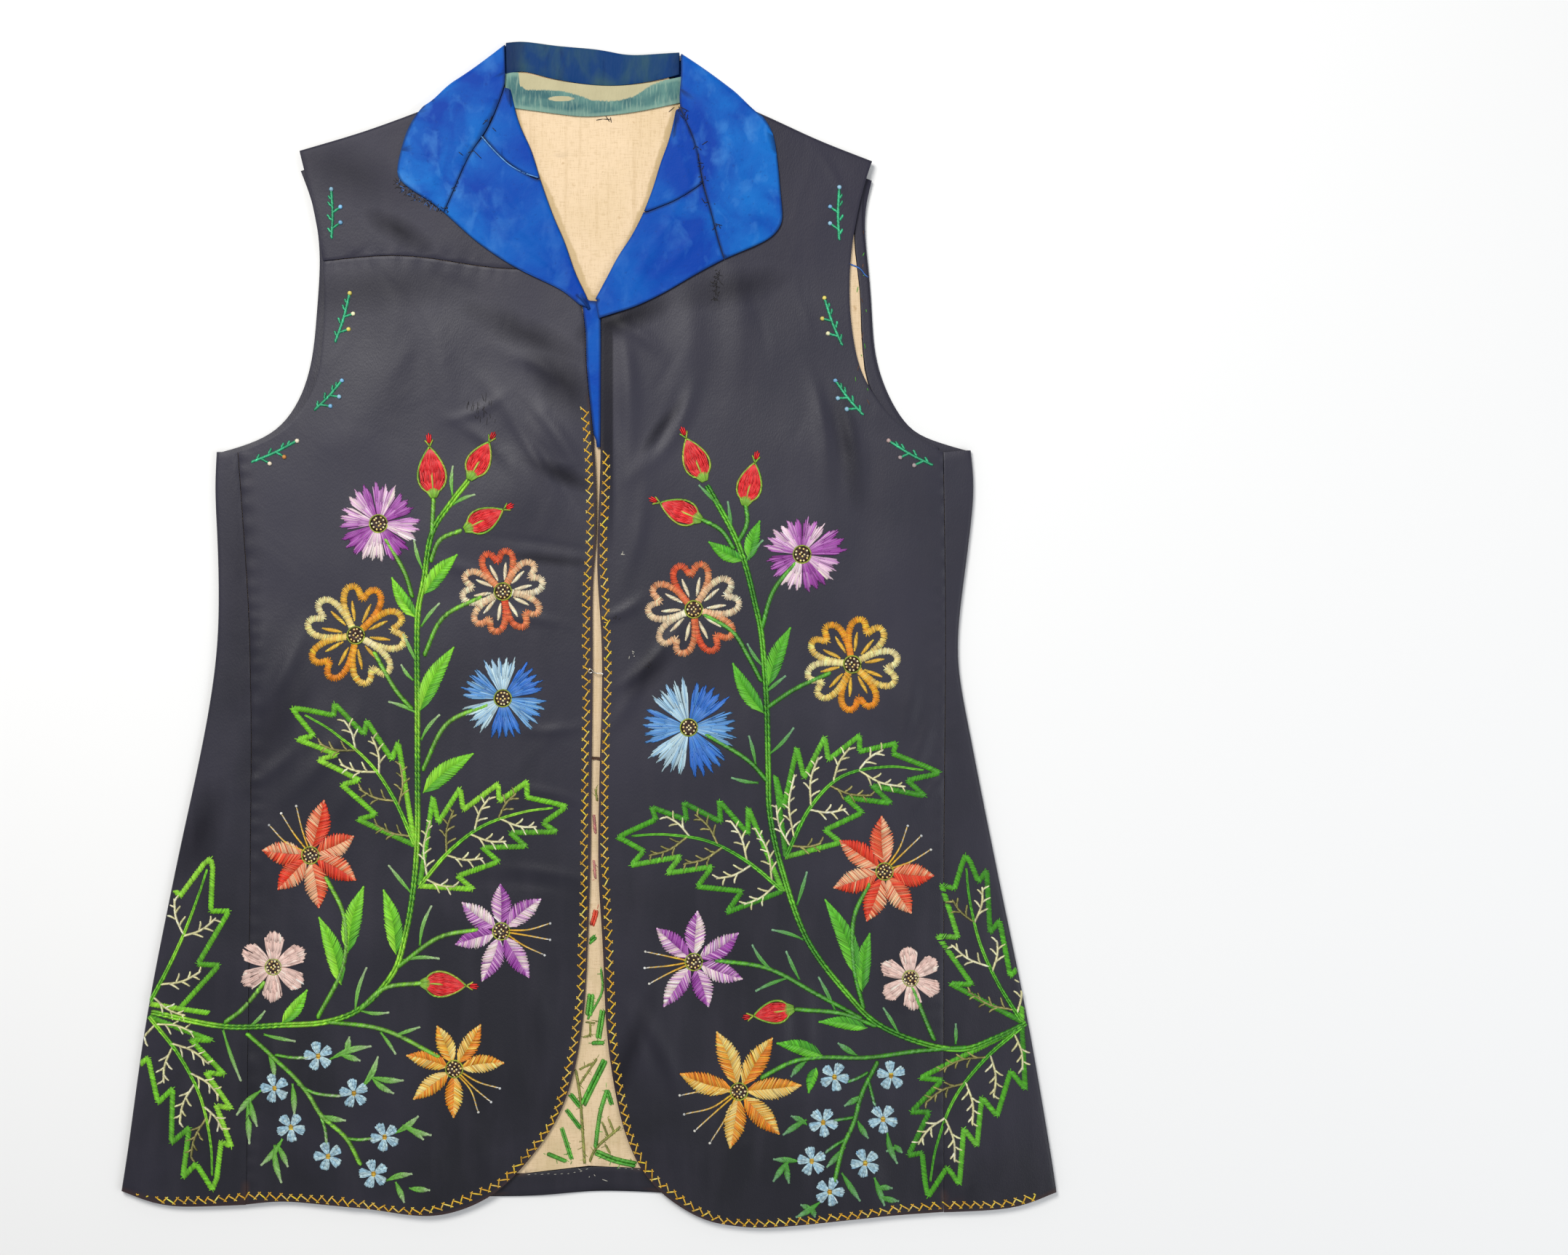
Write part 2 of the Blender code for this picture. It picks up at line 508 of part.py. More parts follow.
def make_fronts(look):
    """Two fronts. The right one is pieced at a yoke seam, and both roll over their shoulders."""
    wide = 9

    edge, normals = shoulder_edge(SHOULDER_RIGHT, -1, wide)
    under_lapel = moved(ROLL_RIGHT, -UNDER_LAPEL)
    cut = [p for p in under_lapel if p.y > YOKE_SEAM[0][1] + 4]
    yoke_inner = rail(([edge[0], *cut[1:], Vector((-11.6, 226.4))], 8))
    yoke_outer = rail(([edge[-1], *map(Vector, ARMHOLE_FRONT_RIGHT[1:2]), Vector((-164.5, 230.4))], 8))
    seam = sampled([Vector((-11.6, 226.4)), *map(Vector, YOKE_SEAM[:-1]), Vector((-164.5, 230.4))], wide)
    flat = raised(patch(yoke_inner, yoke_outer, edge, seam), front_height)
    cloth("front_right_yoke", over_shoulder(flat, normals), FRONT_CLOTH, look)

    below = Vector((0.0, -2 * HALF_GAP))
    seam = [p + below for p in seam]
    inner_top = [seam[0], Vector((-9.0, 214.0)), Vector((-4.8, 204.0)), Vector(CENTRE_EDGE_RIGHT[0])]
    inner = rail((inner_top, 2), (CENTRE_EDGE_RIGHT, 34))
    arm = [seam[-1]] + [Vector(p) for p in ARMHOLE_FRONT_RIGHT[3:]]
    side_edge = moved(SIDE_SEAM_RIGHT, HALF_GAP)
    arm[-1] = side_edge[0]
    outer = rail((arm, 9), (side_edge, 27))
    foot = sampled([inner[-1], *map(Vector, HEM_FRONT_RIGHT[1:-1]), outer[-1]], wide)
    cloth("front_right", raised(patch(inner, outer, seam, foot), front_height), FRONT_CLOTH, look)

    edge, normals = shoulder_edge(SHOULDER_LEFT, 1, wide)
    inner_top = [edge[0], *moved(ROLL_LEFT, UNDER_LAPEL)[1:-1], Vector((7.6, 207.0)), Vector(CENTRE_EDGE_LEFT[0])]
    inner = rail((inner_top, 10), (CENTRE_EDGE_LEFT, 34))
    arm = [edge[-1]] + [Vector(p) for p in ARMHOLE_FRONT_LEFT[1:]]
    side_edge = moved(SIDE_SEAM_LEFT, -HALF_GAP)
    arm[-1] = side_edge[0]
    outer = rail((arm, 16), (side_edge, 28))
    foot = sampled([inner[-1], *map(Vector, HEM_FRONT_LEFT[1:-1]), outer[-1]], wide)
    flat = raised(patch(inner, outer, edge, foot), front_height)
    cloth("front_left", over_shoulder(flat, normals), FRONT_CLOTH, look)


def lapel(name, roll, side, outer, head, foot, look):
    """A lapel piece between its outer rail and the roll, which it goes round with its last columns."""
    crown = LAPEL_ROLL_RADIUS + SILK / 2
    normals = [n * side for n in sideways(roll)]
    inner = [p - n * crown for p, n in zip(roll, normals)]
    head = [outer[0], *head[1:-1], inner[0]]
    foot = [outer[-1], *foot[1:-1], inner[-1]]
    flat = raised(patch(outer, inner, head, foot), lapel_height)
    arc = turned([row[-1] for row in flat], normals, 2 * LAPEL_ROLL_RADIUS, LAPEL_ROLL_TURN, LAPEL_ROLL_STEPS)
    rows = [row + turn for row, turn in zip(flat, columns_of(arc))]
    return cloth(name, rows, SILK, look)


def between(points, high, low):
    """The part of a downward curve between two heights, with its ends cut there."""
    fine = sampled(points, 200)
    return [p for p in fine if low <= p.y <= high]


def make_lapels(look):
    """Each lapel is pieced across, and each piece ends at the seam."""
    wide = 5
    for label, side, roll, gorge, piecing, edge in (
        ("right", 1, ROLL_RIGHT, GORGE_RIGHT, PIECING_RIGHT, LAPEL_EDGE_RIGHT),
        ("left", -1, ROLL_LEFT, GORGE_LEFT, PIECING_LEFT, LAPEL_EDGE_LEFT),
    ):
        split_out, split_in = piecing[0][1], piecing[-1][1]
        seam = moved(gorge, side * HALF_GAP)
        roll_top, roll_foot = gorge[0][1] - 3.0, roll[-1][1]

        outer = sampled(between(seam, roll_top + 1.0, split_out + HALF_GAP), 6)
        inner = sampled(between(roll, roll_top, split_in + HALF_GAP), 6)
        cut = [p + Vector((0.0, HALF_GAP)) for p in sampled(piecing, wide)]
        lapel("lapel_%s_upper" % label, inner, side, outer, straight(outer[0], inner[0], wide), cut, look)

        gorge_part = between(seam, split_out - HALF_GAP, seam[-1].y)
        outer = rail((gorge_part, 5), ([gorge_part[-1], *map(Vector, edge[1:])], 8))
        inner = sampled(between(roll, split_in - HALF_GAP, roll_foot), 13)
        cut = [p - Vector((0.0, HALF_GAP)) for p in sampled(piecing, wide)]
        lapel("lapel_%s_lower" % label, inner, side, outer, cut, straight(outer[-1], inner[-1], wide), look)


def make_front_strip(look):
    """The lapel's facing, which shows as a narrow strip down the right front's edge."""
    inner = sampled(STRIP_INNER_EDGE, 5)
    outer = sampled(STRIP_OUTER_EDGE, 5)
    rows = patch(inner, outer, straight(inner[0], outer[0], 2))
    return cloth("front_facing_right", raised(rows, front_height), SILK, look)


def make_hook(look):
    """A bent wire hook sewn to the right front's edge: an eye, a shank and a bill turned over."""
    x, y = HOOK_PLACE
    z = FRONT_LEVEL + (FRONT_CLOTH + WIRE) / 2 + HOOK_REST + fold_rise(x, y)
    half, eye_steps, bill_steps = WIRE * 0.75, 8, 6
    path = []
    for k in range(eye_steps + 1):
        angle = math.radians(-60 + 300 * k / eye_steps)
        path.append((-HOOK_LENGTH / 2 - HOOK_EYE_RADIUS * HOOK_EYE_WIDTH * math.sin(angle),
                     half + HOOK_EYE_RADIUS * (1 - math.cos(angle)), 0.0))
    for share in (0.35, 0.7, 0.95):
        path.append((HOOK_LENGTH * (share - 0.5), half, 0.0))
    for k in range(1, bill_steps):
        share = k / bill_steps
        path.append((HOOK_LENGTH / 2 + HOOK_BILL_HEIGHT / 2 * math.sin(math.pi * share), half * math.cos(math.pi * share),
                     HOOK_BILL_HEIGHT / 2 * share))
    wire = bpy.data.curves.new("hook", "CURVE")
    wire.dimensions = "3D"
    line = wire.splines.new("POLY")
    line.points.add(len(path) - 1)
    for point, (px, py, pz) in zip(line.points, path):
        point.co = ((x + px) * MM, (y + py) * MM, (z + pz) * MM, 1.0)
    wire.bevel_depth = WIRE / 2 * MM
    wire.bevel_resolution = 2
    wire.use_fill_caps = True
    wire.materials.append(look)
    piece = bpy.data.objects.new("hook", wire)
    bpy.context.scene.collection.objects.link(piece)
    return piece


def main():
    for item in list(bpy.data.objects):
        bpy.data.objects.remove(item, do_unlink=True)
    satin = material("black_satin", (0.018, 0.018, 0.026), 0.42)
    blue = material("blue_silk", (0.035, 0.075, 0.32), 0.4)
    linen = material("cream_linen", (0.62, 0.53, 0.36), 0.85)
    teal = material("worn_teal_silk", (0.10, 0.24, 0.22), 0.55)
    metal = material("wire", (0.62, 0.62, 0.6), 0.3, 1.0)
    make_back(satin)
    make_lining(linen)
    make_hem_facing(satin)
    make_armhole_facing(satin)
    make_neck_facing(teal)
    make_collar_band(blue)
    make_collar(blue)
    make_fronts(satin)
    make_lapels(blue)
    make_front_strip(blue)
    make_hook(metal)


main()
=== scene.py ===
"""Embroidered waistcoat laid flat: its cloth, embroidery, sewing and light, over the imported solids.

Tables are in millimetres in the frame's own x and y: +x is the wearer's left, +y runs up to the collar.
A place on the cloth is a complex number, x + yj, so a direction is a turn and its side is 1j times it.
A stitch is a short thread between two places, which takes its height from the cloth below it.
"""

import cmath
import math

import bmesh
import bpy
import numpy as np
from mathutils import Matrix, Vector
from mathutils.bvhtree import BVHTree
from mathutils.kdtree import KDTree


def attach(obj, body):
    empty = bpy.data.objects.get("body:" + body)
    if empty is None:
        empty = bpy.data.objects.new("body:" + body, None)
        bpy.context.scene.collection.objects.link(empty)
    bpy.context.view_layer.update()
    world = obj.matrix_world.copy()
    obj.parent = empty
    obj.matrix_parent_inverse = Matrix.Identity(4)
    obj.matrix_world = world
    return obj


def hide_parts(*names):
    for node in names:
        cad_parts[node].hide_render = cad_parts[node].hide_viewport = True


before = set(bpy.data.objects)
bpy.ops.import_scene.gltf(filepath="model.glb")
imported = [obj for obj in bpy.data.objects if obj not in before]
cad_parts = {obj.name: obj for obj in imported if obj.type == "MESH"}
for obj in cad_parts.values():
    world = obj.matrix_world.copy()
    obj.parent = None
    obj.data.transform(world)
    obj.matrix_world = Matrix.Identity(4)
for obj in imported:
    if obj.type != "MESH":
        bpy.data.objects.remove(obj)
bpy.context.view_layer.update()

MM = 0.001
RNG = np.random.default_rng(23)

# The cloth

CLOTH_COLUMNS = ("node", "slot", "levels", "width", "length", "share", "under")
CLOTH = (
    ("back", "black_satin", 2, 725, 705, 0.67, ()),
    ("back_lining", "cream_linen", 0, 556, 684, 0.76, ("back",)),
    ("back_hem_facing", "black_satin", 2, 562, 20, 0.81, ("back",)),
    ("armhole_facing_left", "black_satin", 2, 10, 205, 0.6, ("back",)),
    ("neck_facing", "teal_silk", 2, 111, 28, 0.7, ("back_lining",)),
    ("collar_band", "teal_silk", 2, 107, 28, 0.93, ("back_lining",)),
    ("front_right_yoke", "black_satin", 2, 168, 116, 0.75, ("back",)),
    ("front_right", "black_satin", 3, 222, 594, 0.89, ("back_lining",)),
    ("front_left", "black_satin", 3, 216, 706, 0.87, ("back_lining",)),
    ("lapel_right_upper", "blue_silk", 2, 35, 56, 0.5, ("front_right_yoke",)),
    ("lapel_right_lower", "blue_silk", 2, 90, 106, 0.44, ("front_right_yoke",)),
    ("lapel_left_upper", "blue_silk", 2, 36, 64, 0.55, ("front_left",)),
    ("lapel_left_lower", "blue_silk", 2, 80, 83, 0.53, ("front_left",)),
    ("collar", "blue_silk", 2, 240, 150, 0.55, ("front_right_yoke", "front_left")),
    ("front_facing_right", "blue_silk", 2, 12, 89, 0.74, ("front_right",)),
)

# Wrinkles of the two fronts. A rise below 0 is a trough.
WRINKLE_COLUMNS = ("x", "y", "heading", "length", "width", "rise")
WRINKLES = (
    (-40, 126, 124, 32, 5, 1.5), (-26, 108, 124, 30, 3.2, -1.6), (-17, 120, 124, 28, 5, 1.3),
    (-62, 118, 140, 22, 4, 0.7), (-68, 138, 25, 16, 3, 0.6), (-92, 168, 100, 40, 9, 0.9),
    (-120, 190, 88, 46, 12, 0.8), (-30, 166, 150, 22, 5, 0.8), (-30, 56, 172, 28, 2.2, -0.4),
    (-78, 40, 160, 24, 4, 0.5), (-40, 10, 176, 20, 3, 0.5), (-90, -20, 84, 30, 7, 0.7),
    (-188, -24, 62, 30, 5, 1.3), (-176, -52, 56, 34, 6, -0.8), (-162, -76, 52, 30, 5, 1.2),
    (-196, -84, 40, 22, 4, 1.0), (-204, -10, 80, 24, 5, 0.9), (-150, -100, 66, 24, 5, 0.7),
    (-29, -147, 172, 26, 3.2, 0.5), (-40, -154, 174, 22, 3, -0.5), (-26, -98, 168, 18, 3, 0.5),
    (-22, -60, 4, 16, 3, 0.6), (-199, -278, 94, 24, 4, -0.8), (-190, -280, 94, 26, 5, 1.2),
    (-208, -270, 100, 22, 4, 0.8), (-120, -290, 84, 26, 8, 0.8), (-64, -322, 112, 24, 6, 0.7),
    (-146, -344, 92, 14, 5, 0.7), (-92, -336, 80, 18, 5, 0.6), (-250, -300, 78, 30, 8, 0.8),
    (-244, -200, 80, 30, 7, 0.7), (-28, -240, 98, 34, 5, 0.8), (25, 152, 93, 40, 5, 1.3),
    (8, 92, 90, 40, 5, 1.1), (17, 96, 90, 44, 3.5, -1.0), (46, 124, 60, 22, 4, -1.6),
    (55, 130, 62, 26, 5, 1.2), (37, 112, 58, 20, 4, 1.0), (30, 186, 150, 18, 5, 1.0),
    (62, 176, 84, 34, 8, 0.9), (92, 200, 96, 42, 9, 0.9), (154, 122, 98, 26, 4, -0.8),
    (146, 124, 98, 28, 4.5, 1.2), (164, 116, 100, 26, 4.5, 1.1), (30, 60, 78, 26, 4, 0.9),
    (22, 14, 30, 12, 3, 0.9), (34, -22, 42, 16, 3, 0.9), (48, -8, 52, 20, 4, 0.7),
    (24, -44, 60, 18, 4, 0.8), (206, -70, 70, 22, 5, 1.1), (200, -42, 84, 26, 5, 0.9),
    (214, -96, 50, 18, 4, 0.8), (178, -100, 120, 24, 6, 0.7), (40, -262, 114, 24, 4, -0.8),
    (46, -258, 114, 26, 4.5, 1.2), (30, -246, 112, 22, 4, 0.8), (120, -240, 92, 22, 3, 0.8),
    (128, -242, 92, 20, 3, -0.5), (136, -240, 90, 22, 3, 0.8), (100, -318, 78, 24, 7, 0.7),
    (176, -336, 94, 18, 6, 0.7), (226, -330, 96, 22, 7, 0.8), (246, -200, 100, 34, 7, 0.8),
    (256, -300, 98, 32, 8, 0.8), (60, -140, 96, 40, 10, 0.6),
)
SMALL_WRINKLES = 130
RELIEF_GAIN, RELIEF_FLOOR = 1.15, -0.5
# Soft painted shade on the fronts, where their folds lie in shadow: it darkens the satin's colour and dulls
# its gloss
SHADED_COLUMNS = ("x", "y", "along", "across", "heading", "depth")
SHADED = (
    (-16, 156, 30, 15, -48, 0.75), (-16, 98, 24, 6, -24, 0.7), (20, 194, 30, 9, 22, 0.9),
    (-36, 184, 40, 10, -26, 0.6), (45, 128, 20, 4, 52, 0.6), (37, -24, 22, 9, 48, 0.6),
    (-240, -122, 34, 12, 70, 0.6), (-196, -60, 40, 12, 60, 0.35), (24, -262, 44, 8, 68, 0.5),
    (92, 214, 34, 10, 12, 0.5), (-25, 46, 30, 4, -6, 0.6), (-118, 250, 22, 8, -30, 0.7),
    (160, 118, 34, 7, 100, 0.5), (-128, 214, 60, 14, 4, 0.35), (-216, 40, 80, 14, 90, 0.35),
    (-150, 286, 46, 18, -20, 0.4),
)
# Painted shade, the shadow of a fold, darkens the left front along its pressed edge: as far in as the first
# value, and down to the second, in metres
EDGE_SHADE, EDGE_SHADE_FOOT = 0.0150, 0.05

# Creases of the lining, where it shows
LINING_WRINKLES = (
    (12, 290, 92, 30, 2.0, 0.8), (19, 302, 104, 20, 1.2, 0.8), (-14, 292, 84, 26, 4.0, 0.5),
    (-6, 262, 96, 22, 3.0, 0.5), (24, 300, 100, 20, 3.0, 0.5), (6, -150, 90, 40, 1.5, 0.4),
    (-6, -300, 82, 26, 3.0, 0.4), (10, -306, 100, 24, 3.0, 0.4), (2, -262, 90, 30, 2.0, 0.4),
)
# Creases of the lapels and the collar
LAPEL_WRINKLES = (
    (-44, 262, 120, 30, 2.5, 0.7), (-58, 270, 112, 26, 3.0, 0.5), (-36, 244, 135, 18, 2.5, 0.5),
    (-88, 296, 66, 26, 4.0, 0.6), (-98, 288, 96, 18, 3.0, 0.5), (46, 248, 60, 26, 2.5, 0.6),
    (58, 236, 48, 22, 3.0, 0.6), (34, 226, 66, 18, 2.5, 0.5), (94, 276, 102, 30, 4.0, 0.7),
    (104, 258, 88, 18, 3.0, 0.5), (60, 286, 108, 20, 2.5, 0.5), (-24, 228, 140, 14, 2.0, 0.5),
)

# Where the collar's roll over each shoulder ends, and the way it runs there. It thins out over ROLL_TAPER.
ROLL_ENDS = ((-101.8, 325.6, -0.842, -0.541), (108.0, 319.0, 0.816, -0.578))
ROLL_TAPER = 26.0

SIDE_FOLD_RIGHT = ((-228.6, 112.4), (-227.8, 52.0), (-228.0, -5.0), (-235.4, -58.0), (-254.5, -148.0),
    (-287.6, -345.2))
SIDE_FOLD_LEFT = ((234.4, 113.4), (232.6, 52.0), (225.9, -12.0), (233.2, -58.0), (251.0, -148.0),
    (287.6, -346.0))
# Below the armholes the relief dies out at the side folds, and above them at the sloping shoulders
ARMHOLE_FOOT, SIDE_EASE = 112.0, 12.0
SHOULDER_TOP, NECK_SIDE, SHOULDER_SLOPE, SHOULDER_EASE = 341.0, 55.0, 0.345, 24.0
# Seams that pull the fronts into small puckers
PUCKERED_SEAMS = (
    ((-217.1, 112.2), (-210.8, 19.4), (-209.0, -41.0), (-209.3, -130.0), (-212.2, -353.2)),
    ((219.4, 112.2), (220.7, 24.3), (220.7, -31.9), (219.8, -129.2), (219.8, -357.8)),
    ((-50.0, 225.5), (-78.5, 229.1), (-107.3, 233.6), (-135.0, 233.6), (-164.7, 229.8)),
)
PUCKER_RISE, PUCKER_REACH, PUCKER_PITCH = 0.28, 6.0, 11.0

# The embroidery: rows of (x, y) run from the foot of a stem or leaf to its tip
FLOWER_COLUMNS = ("kind", "x", "y", "radius", "turn", "floss")
FLOWERS = (
    ("aster", -130, 68, 26, 80, "purple_aster"),
    ("outlined", -144, -1, 32, 80, "gold"),
    ("outlined", -53, 26, 27, 100, "salmon"),
    ("cornflower", -53, -40, 27, 95, "cornflower"),
    ("lily", -172, -137, 31, 125, "red_lily"),
    ("pink", -195, -206, 22, 88, "pale_pink"),
    ("lily", -54, -184, 30, -10, "purple_lily"),
    ("lily", -83, -269, 30, -42, "gold_lily"),
    ("aster", 132, 49, 25, 66, "purple_aster"),
    ("outlined", 65, 15, 30, 95, "salmon"),
    ("outlined", 163, -19, 30, 65, "gold"),
    ("cornflower", 62, -58, 31, 118, "cornflower"),
    ("lily", 183, -147, 31, 44, "red_lily"),
    ("lily", 65, -203, 30, 187, "purple_lily"),
    ("pink", 199, -213, 20, 95, "pale_pink"),
    ("lily", 93, -283, 36, 212, "gold_lily"),
)
FORGET_ME_NOTS = (
    (-167, -261), (-194, -281), (-145, -284), (-184, -305), (-126, -311), (-161, -323), (-133, -334),
    (152, -274), (187, -273), (145, -302), (182, -300), (138, -326), (171, -327), (149, -345),
)
# From foot to tip
BUDS = (
    (-96, 86, -99, 122), (-73, 97, -59, 123), (-75, 65, -48, 79), (-102, -216, -70, -218),
    (71, 96, 58, 126), (97, 81, 104, 111), (68, 71, 39, 83), (125, -232, 97, -237),
)
MAIN_STEM, BRANCH, TWIG = 3.3, 2.4, 1.7
LEAFY_BELOW = -255
STEMS = (
    (MAIN_STEM, (-271, -234), (-226, -243), (-190, -242), (-162, -240), (-140, -231), (-121, -210),
    (-114, -189),
     (-109, -162), (-106, -125), (-106, -81), (-106, -41), (-106, 9), (-102, 33), (-97, 62), (-85, 81),
     (-74, 95)),
    (BRANCH, (-109, 22), (-114, 38), (-126, 59)),
    (BRANCH, (-109, -47), (-120, -34), (-133, -11)),
    (BRANCH, (-102, -14), (-90, 10), (-66, 23)),
    (BRANCH, (-103, -85), (-88, -56), (-62, -44)),
    (BRANCH, (-98, 44), (-92, 58), (-78, 64)),
    (BRANCH, (-97, 60), (-96, 84)),
    (BRANCH, (-162, -240), (-126, -245), (-92, -262)),
    (BRANCH, (-226, -241), (-214, -232), (-200, -215)),
    (BRANCH, (-168, -238), (-152, -206), (-151, -176), (-163, -150)),
    (BRANCH, (-118, -206), (-93, -188), (-68, -183)),
    (BRANCH, (-142, -233), (-126, -219), (-103, -216)),
    (BRANCH, (-212, -247), (-197, -260), (-183, -273), (-173, -285), (-165, -298), (-150, -312),
    (-141, -329)),
    (TWIG, (-194, -260), (-184, -262), (-173, -262)),
    (TWIG, (-180, -278), (-169, -284), (-153, -286)),
    (TWIG, (-150, -312), (-142, -313), (-133, -312)),
    (TWIG, (-167, -294), (-163, -306), (-162, -316)),
    (MAIN_STEM, (271, -241), (252, -250), (232, -257), (209, -254), (180, -242), (161, -224),
    (135, -189), (119, -144),
     (112, -111), (111, -82), (110, -42), (107, -2), (103, 18), (97, 42), (89, 63), (73, 92)),
    (BRANCH, (234, -256), (204, -258), (172, -262), (143, -262), (125, -265), (106, -275)),
    (BRANCH, (107, 3), (114, 26), (128, 44)),
    (BRANCH, (107, -30), (98.6, -14), (88.8, 1.4), (71, 12)),
    (BRANCH, (110, -46), (128, -34), (150, -24)),
    (BRANCH, (111, -92), (98, -78), (72, -62)),
    (BRANCH, (92, 56), (98, 68), (97, 80)),
    (BRANCH, (90, 52), (82, 64), (69, 71)),
    (BRANCH, (178, -243), (157, -235), (127, -232)),
    (BRANCH, (169, -238), (143, -224), (111, -207), (78, -202)),
    (BRANCH, (170, -232), (164, -206), (164, -176), (174, -154)),
    (BRANCH, (214, -252), (208, -238), (200, -218)),
    (BRANCH, (179, -264), (169, -284), (164, -302), (157, -318), (152, -339)),
    (TWIG, (173, -271), (166, -275), (160, -277)),
    (TWIG, (173, -276), (175, -284), (177, -292)),
    (TWIG, (164, -299), (158, -300), (151, -301)),
    (TWIG, (160, -312), (153, -316), (146, -321)),
)
# Side shoots, from foot to tip
SHOOTS = (
    (-103, 41, -108, 58), (-103, 5, -92, 19), (-107, -17, -115, 0), (-109, -28, -116, -19),
    (-107, -49, -124, -42), (-103, -65, -92, -50), (-84, 86, -84, 104), (-83, 80, -70, 86),
    (-110, -160, -124, -143), (-104, -192, -97, -168), (-114, -202, -92, -201), (-144, -234, -137, -206),
    (-140, -233, -123, -234), (-209, -242, -200, -233), (-128, -247, -119, -260), (-119, -248, -104, -243),
    (-226, -246, -215, -277), (-200, -248, -181, -252), (-198, -260, -194, -275), (-183, -279, -182, -298),
    (-165, -298, -150, -301), (-159, -263, -134, -255), (-150, -259, -148, -249), (-152, -261, -141, -264),
    (-140, -280, -130, -261), (-133, -274, -114, -276), (-133, -275, -120, -284), (-119, -308, -105, -298),
    (-114, -304, -97, -310), (-112, -305, -102, -313), (-124, -338, -109, -334), (-119, -340, -114, -352),
    (-110, -343, -98, -344), (-203, -283, -218, -298), (-209, -289, -205, -305), (-211, -291, -210, -316),
    (-190, -313, -203, -329), (-194, -317, -190, -340), (-192, -317, -186, -330), (97, 44, 108, 58),
    (108, -20, 98, -6), (110, -36, 122, -26), (88, 62, 86, 82), (80, 80, 68, 92), (112, -74, 127, -58),
    (103, -80, 99, -63), (104, -92, 88, -89), (129, -167, 135, -147), (132, -189, 113, -183),
    (114, -208, 101, -192), (130, -213, 122, -196), (123, -213, 103, -221), (152, -232, 142, -212),
    (191, -246, 182, -231), (227, -253, 227, -241), (165, -260, 154, -253), (134, -265, 125, -274),
    (169, -286, 158, -292), (158, -318, 147, -330), (167, -302, 173, -312), (157, -334, 168, -351),
    (134, -301, 120, -310), (134, -303, 125, -298), (129, -326, 114, -325), (124, -326, 114, -339),
    (123, -328, 124, -340), (142, -352, 128, -361), (138, -356, 131, -353), (138, -356, 140, -361),
    (185, -309, 191, -328), (189, -318, 184, -320), (190, -317, 194, -321), (177, -337, 183, -354),
    (179, -343, 188, -343), (181, -348, 192, -351),
)
SATIN_LEAVES = (
    (-102, 24, -81, 49, 5.0), (-106, 9, -122, 35, 4.2), (-105, -49, -83, -8, 5.6),
    (-103, -99, -71, -74, 5.6), (-149, -198, -139, -156, 5.8), (-153, -218, -167, -175, 5.4),
    (-119, -199, -127, -158, 5.2), (-190, -241, -174, -220, 4.2), (96, 45, 74, 57, 4.4),
    (99, 45, 106, 70, 4.4), (111, -33, 125, 4, 5.0), (109, -50, 89, -18, 4.8), (167, -214, 146, -164, 5.6),
    (169, -222, 174, -185, 5.0), (173, -244, 142, -240, 4.0), (145, -261, 116, -253, 4.6),
    (141, -268, 136, -284, 3.2),
)
# left and right of a leaf, from its base: how many teeth, where the first and the last are as shares of its
# length, and half its width
JAGGED_COLUMNS = ("x", "y", "tip_x", "tip_y", "bend", "left", "right")
JAGGED_LEAVES = (
    (-107.5, -131, -183, -46, -13, (4, 0.32, 0.87, 28), (3, 0.48, 0.87, 27)),
    (-104.6, -156, -14, -107, 14, (4, 0.30, 0.87, 33), (4, 0.27, 0.87, 29)),
    (-272, -229, -234, -139, -3, (1, 0.76, 0.76, 27), (3, 0.10, 0.73, 31)),
    (-272, -237, -233, -344, 13, (4, 0.23, 0.82, 22), (4, 0.26, 0.88, 34)),
    (122, -138, 217, -86, 27, (5, 0.18, 0.87, 31), (4, 0.31, 0.87, 32)),
    (120, -159, 18, -126, -15, (4, 0.27, 0.87, 35), (4, 0.33, 0.87, 31)),
    (268, -240, 233, -137, 9, (3, 0.36, 0.87, 31), (3, 0.32, 0.87, 21)),
    (268, -243, 210, -348, -15, (4, 0.27, 0.87, 33), (3, 0.48, 0.87, 29)),
)
SPRIGS = (
    ("knot_blue", (-159, 244), (-159, 274), -1),
    ("knot_yellow", (-157, 180), (-148, 210), -1),
    ("knot_blue", (-170, 138), (-153, 156), -1),
    ("knot_orange", (-209, 106), (-181, 119), -1),
    ("knot_blue", (155, 243), (155, 275), 1),
    ("knot_yellow", (157, 178), (146, 207), 1),
    ("knot_blue", (170, 135), (153, 156), 1),
    ("knot_rose", (213, 104), (186, 119), 1),
)
# How far up a sprig each of its shoots stands, and its length. Longer ones than SPRIG_KNOTTED end in a knot.
SPRIG_SHOOTS, SPRIG_KNOTTED = ((0.12, 4), (0.2, 7), (0.38, 4.4), (0.52, 7), (0.66, 4), (0.8, 3.4)), 5

# Feather stitch, set in from the front edges and the hem
FEATHER_RIGHT = (
    (-2.6, 139), (-0.6, 114), (0.6, 86), (0.6, 61), (-1.4, 25), (-1.6, -10), (-1.6, -46), (-2.2, -77),
    (-2.6, -115), (-3, -153), (-4, -191), (-6, -229), (-12, -266), (-21, -298), (-34, -317), (-52, -337),
    (-69, -346), (-86, -353), (-104, -357), (-121, -356.2), (-138, -353), (-155, -350.8), (-172, -349.4),
    (-190, -348.5), (-207, -347.8), (-225, -349.2), (-245, -350.6), (-274, -350), (-286, -346),
)
FEATHER_LEFT = (
    (11, 112), (10.6, 86), (9.4, 64), (9.2, 43), (11, 8), (12, -28), (10.6, -68), (10, -96), (9.8, -134),
    (11.6, -171), (13.4, -210), (15, -248), (20, -285), (27.5, -315), (39.6, -335.6), (54, -347),
    (68, -356.6), (84, -363), (100, -364.6), (118, -364), (144, -362), (170, -358.8), (195, -355.4),
    (225, -353.4), (255, -352.6), (284, -347),
)
